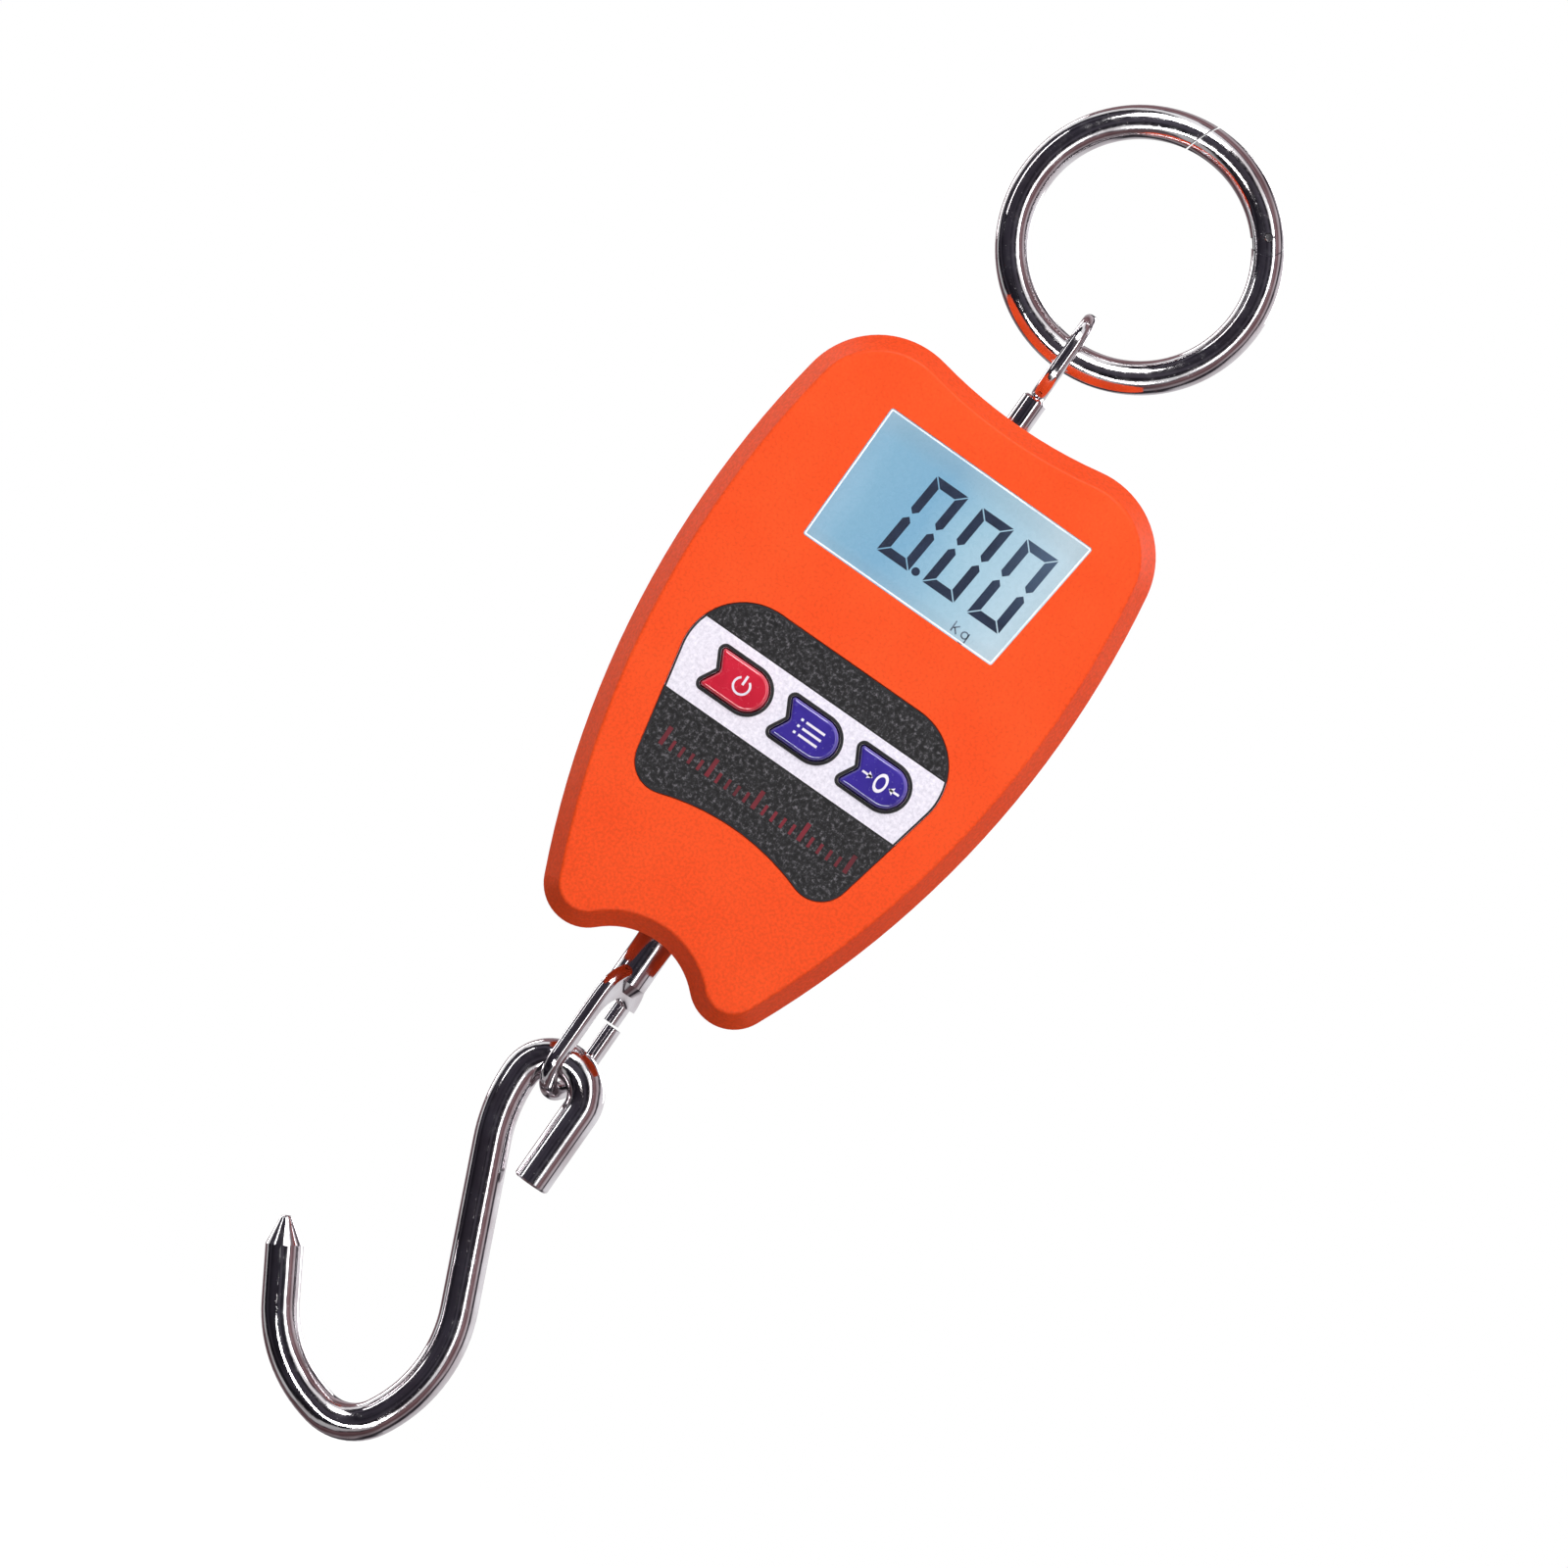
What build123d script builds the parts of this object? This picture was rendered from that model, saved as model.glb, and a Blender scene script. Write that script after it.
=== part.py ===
from build123d import *
import math
import os

# Hanging digital scale with a spring-gate ring above and an S-hook below, in millimetres.
# +Z points up along the load line, +X to the reader's right, and the display faces -Y.
# The origin is the hang point: the top of the inside of the carrying ring.

os.makedirs("parts", exist_ok=True)

# ------------------------------------------------------------------ driving dimensions

# Carrying ring and its gate
RING_WIRE_D = 6.2
RING_INNER_R = 20.0
RING_R = RING_INNER_R + RING_WIRE_D / 2      # wire centreline
RING_Z = -RING_INNER_R                       # ring centre
GATE_PIN_ANGLE = 40.0                        # from the horizontal, seen from the front
GATE_PIN_R, GATE_PIN_L, PIN_BEVEL, PIN_RUN = 0.8, 6.1, 0.15, 0.05
SEAM_X = -1.2                                # where the gate meets the ring, at the outside
SEAM_GAP = 0.35
TONGUE_T, TONGUE_R, TONGUE_ROOM = 2.4, 2.3, 0.45   # hinge tongue, between the gate's cheeks
TONGUE_ROOT = 1.0                            # how far the tongue's root runs into the ring
HINGE_SLACK, KNUCKLE_EXTRA = 0.15, 0.2
BORE_R, BORE_L, BORE_LEAN = 1.25, 10.5, 12.0 # for the gate's spring
ROD_L, ROD_NOSE_R, ROD_SLACK = 2.6, 0.5, 0.1
GATE_SPRING_WIRE, GATE_SPRING_PITCH, GATE_SPRING_GAP = 0.32, 0.9, 0.05

# Height of the case's own datum, and the hardware above and below it, from that datum
DATUM_Z = -114.3
EYE_TOP = 79.8
EYE_HOLE_TOP = 74.65
EYE_HOLE_BOTTOM = 64.7
EYE_BOTTOM = 61.3
EYE_T, EYE_ROUND = 2.8, 1.25                 # both eyes' metal, and its rounding
EYE_R = 7.5
EYE_HOLE_R = 4.1
NECK_RISE = 0.3                              # top of the shank above the eye's lowest point

# Case
CASE_TOP_NOTCH = 55.1
CASE_BOTTOM_NOTCH = -57.35
SIDE_R = 178.5                               # long side curve
TOP_LOBE_R, TOP_LOBE_C = 16.5, (20.21, 40.54)
BOTTOM_LOBE_R, BOTTOM_LOBE_C = 8.0, (15.9, -55.9)
FRONT_DEPTH = 17.0                           # parting plane (y = 0) to the front face
REAR_DEPTH = 10.0
WALL = 2.2
BEVEL_W, BEVEL_D = 4.8, 3.0
FACE_EDGE_R, REAR_EDGE_R = 0.8, 3.0
SEAM_BEVEL = 0.25                            # on both shells, where they meet
SHANK_ROOM = 0.3                             # round the shanks, where they pass the case
LIP_T, LIP_H, LIP_SLACK = 0.95, 1.4, 0.1     # rear shell's lip inside the front shell

# Display
WINDOW_CORNERS = [(-20.3, 17.1), (20.7, 17.0), (23.7, 44.5), (-20.1, 44.7)]
WINDOW_CORNER_R = 0.5
DISPLAY_C = (1.6, 30.8)
LENS_FLANGE = 2.0
LENS_FRONT, LENS_BACK = -16.7, -13.8
GLASS_FRONT, GLASS_BACK = -13.4, -10.8
LENS_SLACK, GASKET_BACKSET = 0.15, 0.3
GLASS_W, GLASS_H, GLASS_ROOM, FRAME_T, FRAME_CORNER_R = 46.0, 31.5, 0.15, 1.6, 1.0
ZEBRA_ROOM, ZEBRA_L, ZEBRA_W = 3.5, 40.0, 2.4
BOARD_FRONT, BOARD_BACK = -8.0, -6.4
BOARD_HALF_W, BOARD_TOP, BOARD_BOTTOM, BOARD_CORNER_R = 28.4, 50.5, -24.0, 5.0

# Keypad
PANEL_TOP = 3.2
PANEL_TOP_R, PANEL_TOP_C = 12.0, (15.1, -8.8)
PANEL_LOBE_R, PANEL_LOBE_C = 6.0, (16.7, -29.9)
PANEL_NOTCH = -33.1
PANEL_RECESS, PANEL_T = 0.7, 0.5
PANEL_SLACK = 0.15
BUTTON_W, BUTTON_H, BUTTON_Z = 11.7, 7.8, -11.4
BUTTON_XS = (-14.35, 0.75, 15.75)
BUTTON_NAMES = ("power", "mode", "tare")
BUTTON_NOTCH, NOTCH_ROUND = 2.1, 1.2         # the vee in the left-hand side
BUTTON_TIP_R, BUTTON_EDGE_R = 0.45, 0.7
BUTTON_SLACK = 0.3
BUTTON_PROUD = 1.2
BUTTON_TRAVEL = 0.6
FLANGE_LIP, FLANGE_T = 0.8, 1.0
SWITCH_SIZE, SWITCH_H = 6.0, 3.5
FLANGE_GAP, STEM_R = 0.2, 2.2
PLUNGER_R, PLUNGER_STANDS, PLUNGER_IN, PLUNGER_SLIP, PLUNGER_ROOM = 1.75, 0.8, 1.1, 0.1, 0.2

# Load cell and the shanks it holds
CELL_W, CELL_T = 22.0, 10.0
CELL_TOP, CELL_BOTTOM = 30.0, -34.0
CELL_ARM = 10.0
CELL_SLOT = 11.0
CELL_WEB = 4.5                               # column left beside each slot
SHANK_R = 2.4
SHANK_RUN = 0.08                             # radial clearance of each shank in its arm
SHANK_BEVEL, SHANK_OUT = 0.5, 1.4            # bevelled ends, and how far one passes its nut
WASHER_T, WASHER_R, WASHER_BEVEL = 1.0, 5.0, 0.15
THRUST_GAP = 0.05
NUT_T, NUT_AF, NUT_COLLAR, COLLAR_STEP = 4.6, 8.0, 1.2, 0.5
FLEXURE_X, FLEXURE_R, FLEXURE_T = 3.9, 3.2, 1.6
BONE_END, CELL_BEVEL, CELL_FLOOR = 4.0, 0.5, 2.0  # hollow's end walls, edges, under the screw holes
GAUGE_L, GAUGE_W, GAUGE_T = 3.2, 3.0, 0.2
SEALANT_L, SEALANT_W, SEALANT_T, SEALANT_CORNER_R, SEALANT_ROUND = 5.0, 6.0, 0.9, 1.5, 0.5

# Batteries (two AAA cells) and their compartment in the rear shell
CELL_D, CELL_L, CELL_ROUND = 10.5, 44.5, 0.6
CELL_X, CELL_Y = 18.5, 2.3
TROUGH_W = 11.2
TROUGH_TOP, TROUGH_BOTTOM = 20.0, -30.0
TROUGH_FLOOR = -3.2
TROUGH_WALL = 1.2
SEAT_Y, SEAT_T, SEAT_RIM = 7.9, 1.8, 2.0      # ledge that the battery door rests on
DOOR_HALF_W, DOOR_TOP, DOOR_BOTTOM = 26.5, 24.5, -34.5
DOOR_GAP, DOOR_CORNER_R = 0.2, 0.8
TAB_X, TAB_W, TAB_L, TAB_REACH = 16.0, 6.0, 1.7, 0.3

DOOR_SKIN_GAP = 0.15
TAB_T, TAB_ROOM = 0.85, 1.0
CATCH_W, CATCH_L, CATCH_T, CATCH_ROOM, CATCH_SLIT = 9.0, 0.7, 0.8, 1.1, 13.0
SLIT_SPAN, SLIT_W = 21.6, 1.0                # the two slits that let the catch flex
GROOVE_L, GROOVE_W, GROOVE_D, GROOVE_DROP = 11.0, 1.1, 0.6, 8.0
PLATE_T, PLATE_W, PLATE_H = 0.4, 9.0, 8.5
TAIL_W, TAIL_Y, TAIL_L, TAIL_SLIP, TAIL_JOINT = 3.0, 0.6, 3.4, 0.2, 1.0   # joint: lead to tail end
NUB_T, NUB_R = 1.0, 1.9
CONTACT_WIRE_R, CONTACT_COIL_R, CONTACT_TURNS, CONTACT_GAP = 0.3, 2.9, 3, 0.05
LEAD_R, LEAD_Y, LEAD_RISE, LEAD_BEND = 0.45, -3.0, 5.0, 1.3
LINK_Y, LINK_Z, LINK_BEND = 4.6, -39.5, 1.8
GAUGE_WIRE_R, GAUGE_WIRE_Y, GAUGE_WIRE_RISE = 0.35, -1.2, 1.8

# Lower eye, turned about the load line
LOWER_EYE_TURN = -25.0
SHOULDER_D = 7.2
LOWER_HOLE_TOP, LOWER_HOLE_BOTTOM = -70.3, -88.9
LOWER_EYE_BOTTOM = -92.2
LOWER_EYE_TOP = -63.2
LOWER_EYE_R = 7.85
LOWER_HOLE_R = 4.4
SPLIT_Z, SPLIT_GAP = -75.0, 0.5              # where the closing strand's end butts
SPLIT_STEP, SPLIT_REACH, SPLIT_ROOT = 1.0, 4.0, 1.5
CROTCH_FLAT, CROTCH_RISE, SHOULDER_LEAD = 1.2, 0.4, 2.4   # where the shoulder meets the eye's hole
SHOULDER_TOP, LOWER_SHANK_END = -52.0, -17.0

# S-hook, seen from the front; its upper bend's centre hangs in the lower eye
HOOK_WIRE_R = 3.45
HOOK_TOP_R = 6.45
HOOK_C = (0.0, -91.1)
HOOK_STUB = 15.5
HOOK_SHOULDER_R, HOOK_SHOULDER_TURN = 32.0, 24.0
HOOK_SHANK = 31.0
HOOK_OUTER_R, HOOK_OUTER_TURN = 27.5, -53.0
HOOK_BOWL_R, HOOK_BOWL_TURN = 8.8, -71.5
HOOK_RISE_R, HOOK_RISE_TURN = 25.0, -48.5
HOOK_END = 10.2
HOOK_POINT_L, HOOK_POINT_R, HOOK_POINT_ROUND, HOOK_STUB_BEVEL = 5.2, 0.9, 0.6, 0.4

# Case screws and board screws
CASE_SCREW_SPOTS = [(29.3, 40.0), (-29.3, 40.0), (20.0, -46.0), (-20.0, -46.0)]
CASE_SCREW_R, POST_R, HEAD_R = 1.25, 2.8, 2.4
BOARD_SCREW_SPOTS = [(25.5, 9.0), (-25.5, 9.0), (25.5, -20.0), (-25.5, -20.0)]
BOARD_SCREW_R = 0.9
CELL_SCREW_SPOTS = [(7.5, 22.5), (-7.5, 22.5)]
CELL_SCREW_R, CELL_HEAD_R, CELL_HEAD_T = 1.4, 2.5, 1.2
SCREW_BITE, SCREW_SINK = 7.0, 4.0
BOARD_SCREW_BITE = 4.0

HEAD_T, CASE_SCREW_L = 1.8, 12.5
BOARD_HEAD_R, BOARD_HEAD_T, BOARD_SCREW_L = 1.7, 1.1, 5.4
CELL_SCREW_L = 9.5
HEAD_ROUND, CROSS_W, CROSS_L = 0.4, 0.5, 1.3  # the cross is CROSS_L head radii long
BOARD_POST_R = 2.2
POST_OVERLAP, BOSS_WALL = 0.3, 0.6            # into the case wall, and the rear bosses' extra radius
SCREW_SLIP, HEAD_SLIP, CELL_SCREW_SLIP, BOARD_SCREW_SLIP = 0.15, 0.3, 0.1, 0.2

# Components on the circuit board
BLOB_SPOT, BLOB_R, BLOB_H, BLOB_ROUND = (-7.0, 3.0), 6.5, 1.6, 1.2
CRYSTAL_SPOT, CRYSTAL_L, CRYSTAL_W, CRYSTAL_H = (12.0, 3.0), 9.0, 3.4, 2.8
RESISTOR_SPOT, RESISTOR_STEP = (22.0, 3.0), 3.1
RESISTOR_L, RESISTOR_W, RESISTOR_H = 2.0, 1.2, 0.5
CONVERTER_SPOT, CONVERTER_L, CONVERTER_W, CONVERTER_H = (-18.0, 3.0), 10.0, 6.0, 1.5
CAPACITOR_X, CAPACITOR_Z, CAPACITOR_R, CAPACITOR_L = 15.0, 40.0, 3.1, 7.0


def facing(y):
    """Plane at depth y whose x and y run along X and up from the datum; normal to the front."""
    return Plane(origin=(0, y, DATUM_Z), x_dir=(1, 0, 0), z_dir=(0, -1, 0))


def level(z):
    """Horizontal plane at height z above the case's datum."""
    return Plane.XY.offset(DATUM_Z + z)


def angle_of(centre, point):
    """Direction from centre to point, in degrees."""
    return math.degrees(math.atan2(point[1] - centre[1], point[0] - centre[0]))


def notch_radius(lobe_c, lobe_r, notch_z):
    """Radius of the hollow arc, centred on x = 0, that meets both lobes smoothly."""
    drop = abs(notch_z - lobe_c[1])
    return (lobe_c[0] ** 2 + drop ** 2 - lobe_r ** 2) / (2 * (lobe_r - drop))


def tangent_centre(radius, upper_c, upper_r, lower_c, lower_r):
    """Centre of the arc of this radius that closes smoothly over both lobes from outside."""
    near, far = radius - upper_r, radius - lower_r
    gap = math.dist(upper_c, lower_c)
    along = (near ** 2 - far ** 2 + gap ** 2) / (2 * gap)
    aside = math.sqrt(near ** 2 - along ** 2)
    dx, dz = (lower_c[0] - upper_c[0]) / gap, (lower_c[1] - upper_c[1]) / gap
    return (upper_c[0] + along * dx + aside * dz, upper_c[1] + along * dz - aside * dx)


def arc_between(centre, radius, start, end):
    """Arc about centre from angle start to angle end, in degrees."""
    CenterArc(centre, radius, start, end - start)


# ------------------------------------------------------------------------- outlines

top_notch_r = notch_radius(TOP_LOBE_C, TOP_LOBE_R, CASE_TOP_NOTCH)
top_notch_c = (0, CASE_TOP_NOTCH + top_notch_r)
bottom_notch_r = notch_radius(BOTTOM_LOBE_C, BOTTOM_LOBE_R, CASE_BOTTOM_NOTCH)
bottom_notch_c = (0, CASE_BOTTOM_NOTCH - bottom_notch_r)
top_turn = angle_of(TOP_LOBE_C, top_notch_c)
bottom_turn = angle_of(BOTTOM_LOBE_C, bottom_notch_c)
side_c = tangent_centre(SIDE_R, TOP_LOBE_C, TOP_LOBE_R, BOTTOM_LOBE_C, BOTTOM_LOBE_R)
side_start = angle_of(side_c, BOTTOM_LOBE_C)
side_end = angle_of(side_c, TOP_LOBE_C)

with BuildSketch() as case_outline:
    with BuildLine():
        arc_between(bottom_notch_c, bottom_notch_r, 90, bottom_turn + 180)
        arc_between(BOTTOM_LOBE_C, BOTTOM_LOBE_R, bottom_turn, side_start)
        arc_between(side_c, SIDE_R, side_start, side_end)
        arc_between(TOP_LOBE_C, TOP_LOBE_R, side_end, top_turn)
        arc_between(top_notch_c, top_notch_r, top_turn - 180, -90)
        mirror(about=Plane.YZ)
    make_face()

with BuildSketch() as case_inside:
    add(case_outline.sketch)
    offset(amount=-WALL)

# Keypad panel: flat top, leaning straight sides, two lobes with a shallow hollow between
lean = angle_of(PANEL_LOBE_C, PANEL_TOP_C)
span = math.dist(PANEL_LOBE_C, PANEL_TOP_C)
side_angle = lean - math.degrees(math.acos((PANEL_LOBE_R - PANEL_TOP_R) / span))
panel_notch_r = notch_radius(PANEL_LOBE_C, PANEL_LOBE_R, PANEL_NOTCH)
panel_notch_c = (0, PANEL_NOTCH - panel_notch_r)
panel_turn = angle_of(PANEL_LOBE_C, panel_notch_c)

with BuildSketch() as panel_outline:
    with BuildLine():
        arc_between(panel_notch_c, panel_notch_r, 90, panel_turn + 180)
        low = CenterArc(PANEL_LOBE_C, PANEL_LOBE_R, panel_turn, side_angle - panel_turn)
        high = CenterArc(PANEL_TOP_C, PANEL_TOP_R, side_angle, 90 - side_angle)
        Line(low @ 1, high @ 0)
        Line(high @ 1, (0, PANEL_TOP))
        mirror(about=Plane.YZ)
    make_face()


def button_face(grow=0.0):
    """Button shape about its own centre: round right end, vee on the left, grown by grow."""
    half = BUTTON_H / 2
    left = -BUTTON_W / 2
    right = BUTTON_W / 2 - half
    with BuildSketch(mode=Mode.PRIVATE) as shape:
        with BuildLine():
            Line((left, half), (right, half))
            ThreePointArc((right, half), (right + half, 0), (right, -half))
            Line((right, -half), (left, -half))
            Line((left, -half), (left + BUTTON_NOTCH, 0))
            Line((left + BUTTON_NOTCH, 0), (left, half))
        make_face()
        fillet(shape.vertices().group_by(Axis.X)[1], NOTCH_ROUND)
        fillet(shape.vertices().group_by(Axis.X)[0], BUTTON_TIP_R)
        if grow:
            offset(amount=grow)
    return shape.sketch


def window_face(grow=0.0):
    """Display window, whose right-hand side leans in towards the keypad, grown by grow."""
    with BuildSketch(mode=Mode.PRIVATE) as shape:
        Polygon(*WINDOW_CORNERS, align=None)
        fillet(shape.vertices(), WINDOW_CORNER_R)
        if grow:
            offset(amount=grow)
    return shape.sketch


# ---------------------------------------------------------------------- ring and gate

pin_turn = math.radians(GATE_PIN_ANGLE)
PIN_SPOT = (RING_R * math.cos(pin_turn), RING_R * math.sin(pin_turn))
SEAM_SPOT = (SEAM_X, math.sqrt((RING_R + RING_WIRE_D / 2) ** 2 - SEAM_X ** 2))
SWING_R = math.dist(PIN_SPOT, SEAM_SPOT)     # the seam is an arc about the pin
KNUCKLE_R = RING_WIRE_D / 2 + KNUCKLE_EXTRA
ring_plane = Plane(origin=(0, 0, RING_Z), x_dir=(1, 0, 0), z_dir=(0, -1, 0))
# At the pin, x runs along the wire away from the gate and y points out of the ring
pin_plane = Plane(
    origin=(PIN_SPOT[0], 0, RING_Z + PIN_SPOT[1]),
    x_dir=(math.sin(pin_turn), 0, -math.cos(pin_turn)),
    z_dir=(0, -1, 0),
)
# The spring bore starts at the pin and leans inwards, to stay inside the gate's curve
bore_turn = pin_turn + math.radians(BORE_LEAN)
bore_plane = Plane(
    origin=pin_plane.origin,
    x_dir=(0, 1, 0),
    z_dir=(-math.sin(bore_turn), 0, math.cos(bore_turn)),
)


def gate_zone(swing_r, knuckle_r):
    """Front-view region of the gate: its round end at the pin, and from there to the seam's arc."""
    with BuildSketch(ring_plane, mode=Mode.PRIVATE) as zone:
        Polygon(
            (0, 0),
            (2 * PIN_SPOT[0], 2 * PIN_SPOT[1]),
            (PIN_SPOT[0], 3 * RING_R),
            (-PIN_SPOT[0], 2 * RING_R),
            align=None,
        )
        with Locations(PIN_SPOT):
            Circle(swing_r, mode=Mode.INTERSECT)
            Circle(knuckle_r)
    return zone.sketch


with BuildPart() as ring_body:
    with Locations((0, 0, RING_Z)):
        Torus(RING_R, RING_WIRE_D / 2, rotation=(90, 0, 0))
    ring_cut = gate_zone(SWING_R, KNUCKLE_R + HINGE_SLACK)
    extrude(ring_cut, amount=RING_WIRE_D, both=True, mode=Mode.SUBTRACT)
    with BuildSketch(pin_plane):
        Circle(TONGUE_R)
        Rectangle(KNUCKLE_R + TONGUE_ROOT, 2 * TONGUE_R, align=(Align.MIN, Align.CENTER))
    extrude(amount=TONGUE_T / 2, both=True)
    with BuildSketch(pin_plane):
        Circle(GATE_PIN_R + PIN_RUN)
    extrude(amount=RING_WIRE_D, both=True, mode=Mode.SUBTRACT)
ring_body.part.label = "ring_body"
export_step(ring_body.part, "parts/ring_body.step")

with BuildPart() as gate_pin:
    with BuildSketch(pin_plane):
        Circle(GATE_PIN_R)
    extrude(amount=GATE_PIN_L / 2, both=True)
    chamfer(gate_pin.edges(), PIN_BEVEL)
gate_pin.part.label = "gate_pin"
export_step(gate_pin.part, "parts/gate_pin.step")

with BuildPart() as ring_gate:
    with Locations((0, 0, RING_Z)):
        Torus(RING_R, RING_WIRE_D / 2, rotation=(90, 0, 0))
    gate_cut = gate_zone(SWING_R - SEAM_GAP, KNUCKLE_R)
    extrude(gate_cut, amount=RING_WIRE_D, both=True, mode=Mode.INTERSECT)
    with BuildSketch(pin_plane):
        Circle(TONGUE_R + TONGUE_ROOM)
        with Locations((-TONGUE_ROOM, 0)):
            Rectangle(2 * RING_WIRE_D, 2 * RING_WIRE_D, align=(Align.MIN, Align.CENTER))
    extrude(amount=TONGUE_T / 2 + HINGE_SLACK, both=True, mode=Mode.SUBTRACT)
    with BuildSketch(pin_plane):
        Circle(GATE_PIN_R + PIN_RUN)
    extrude(amount=RING_WIRE_D, both=True, mode=Mode.SUBTRACT)
    with BuildSketch(bore_plane):
        Circle(BORE_R)
    extrude(amount=BORE_L, mode=Mode.SUBTRACT)
ring_gate.part.label = "ring_gate"
export_step(ring_gate.part, "parts/ring_gate.step")

# Push rod and spring in the gate's bore; the rod's round nose faces the tongue
rod_start = TONGUE_R + ROD_SLACK
with BuildPart() as gate_plunger:
    with BuildSketch(bore_plane.offset(rod_start)):
        Circle(BORE_R - ROD_SLACK)
    extrude(amount=ROD_L)
    fillet(gate_plunger.edges().sort_by(Axis.X)[-1:], ROD_NOSE_R)
gate_plunger.part.label = "gate_plunger"
export_step(gate_plunger.part, "parts/gate_plunger.step")

spring_length = BORE_L - rod_start - ROD_L - GATE_SPRING_WIRE - 2 * GATE_SPRING_GAP
spring_start = bore_plane.offset(rod_start + ROD_L + GATE_SPRING_WIRE / 2 + GATE_SPRING_GAP)
with BuildPart() as gate_spring:
    with BuildLine():
        coil = Helix(
            pitch=GATE_SPRING_PITCH,
            height=spring_length,
            radius=BORE_R - GATE_SPRING_WIRE / 2 - ROD_SLACK,
            center=spring_start.origin,
            direction=spring_start.z_dir,
        )
    with BuildSketch(Plane(coil @ 0, z_dir=coil % 0)):
        Circle(GATE_SPRING_WIRE / 2)
    sweep(is_frenet=True)
gate_spring.part.label = "gate_spring"
export_step(gate_spring.part, "parts/gate_spring.step")

# ---------------------------------------------------------------------------- S-hook

hook_plane = Plane(origin=(0, 0, DATUM_Z), x_dir=(1, 0, 0), z_dir=(0, -1, 0))
with BuildPart() as s_hook:
    with BuildLine(hook_plane) as hook_line:
        stub_foot = (HOOK_C[0] + HOOK_TOP_R, HOOK_C[1] - HOOK_STUB)
        stub = Line(stub_foot, (HOOK_C[0] + HOOK_TOP_R, HOOK_C[1]))
        top_bend = CenterArc(HOOK_C, HOOK_TOP_R, 0, 180)
        shoulder_start = (HOOK_C[0] - HOOK_TOP_R, HOOK_C[1])
        shoulder = JernArc(shoulder_start, (0, -1), HOOK_SHOULDER_R, HOOK_SHOULDER_TURN)
        shank = PolarLine(shoulder @ 1, HOOK_SHANK, HOOK_SHOULDER_TURN - 90)
        outer = JernArc(shank @ 1, shank % 1, HOOK_OUTER_R, HOOK_OUTER_TURN)
        bowl = JernArc(outer @ 1, outer % 1, HOOK_BOWL_R, HOOK_BOWL_TURN)
        rise = JernArc(bowl @ 1, bowl % 1, HOOK_RISE_R, HOOK_RISE_TURN)
        heading = HOOK_SHOULDER_TURN + HOOK_OUTER_TURN + HOOK_BOWL_TURN + HOOK_RISE_TURN - 90
        end = PolarLine(rise @ 1, HOOK_END, heading)
    with BuildSketch(Plane(hook_line.line @ 0, z_dir=hook_line.line % 0)):
        Circle(HOOK_WIRE_R)
    sweep()
    chamfer(s_hook.faces().filter_by(Axis.Z).sort_by(Axis.X)[-1].edges(), HOOK_STUB_BEVEL)
    with BuildSketch(Plane(end @ 1, z_dir=end % 1)):
        Circle(HOOK_WIRE_R)
    with BuildSketch(Plane((end @ 1) + HOOK_POINT_L * (end % 1), z_dir=end % 1)):
        Circle(HOOK_POINT_R)
    loft()
    fillet(s_hook.edges().filter_by(GeomType.CIRCLE).sort_by(SortBy.RADIUS)[0], HOOK_POINT_ROUND)
s_hook.part.label = "s_hook"
export_step(s_hook.part, "parts/s_hook.step")

# ------------------------------------------------------------------------- eye bolts


def eye_plane(turn):
    """Upright plane through the load line: x runs across the eye, y runs up."""
    across = (math.sin(math.radians(turn)), -math.cos(math.radians(turn)), 0)
    return Plane(origin=(0, 0, DATUM_Z), x_dir=across, z_dir=Vector(across).cross(Vector(0, 0, 1)))


def stadium(radius, top, bottom):
    """Upright stadium between two heights, inside the running sketch."""
    with Locations((0, (top + bottom) / 2)):
        SlotOverall(top - bottom, 2 * radius, rotation=90)


upper_eye_plane = eye_plane(0)
neck_top = DATUM_Z + EYE_BOTTOM + NECK_RISE
upper_shank_end = DATUM_Z + CELL_TOP - CELL_ARM - WASHER_T - NUT_T - SHANK_OUT
with BuildPart() as upper_eye_bolt:
    with BuildSketch(upper_eye_plane):
        stadium(EYE_R, EYE_TOP, EYE_BOTTOM)
        with BuildSketch(mode=Mode.PRIVATE) as hole:
            stadium(EYE_HOLE_R, EYE_HOLE_TOP, EYE_HOLE_BOTTOM)
        add(hole.sketch, mode=Mode.SUBTRACT)
    extrude(amount=EYE_T / 2, both=True)
    fillet(upper_eye_bolt.faces().filter_by(Axis.X).edges(), EYE_ROUND)
    with BuildSketch(Plane.XZ):
        with BuildLine():
            Polyline(
                (0, neck_top),
                (SHANK_R - SHANK_BEVEL, neck_top),
                (SHANK_R, neck_top - SHANK_BEVEL),
                (SHANK_R, upper_shank_end + SHANK_BEVEL),
                (SHANK_R - SHANK_BEVEL, upper_shank_end),
                (0, upper_shank_end),
                close=True,
            )
        make_face()
    revolve(axis=Axis.Z)
upper_eye_bolt.part.label = "upper_eye_bolt"
export_step(upper_eye_bolt.part, "parts/upper_eye_bolt.step")

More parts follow.
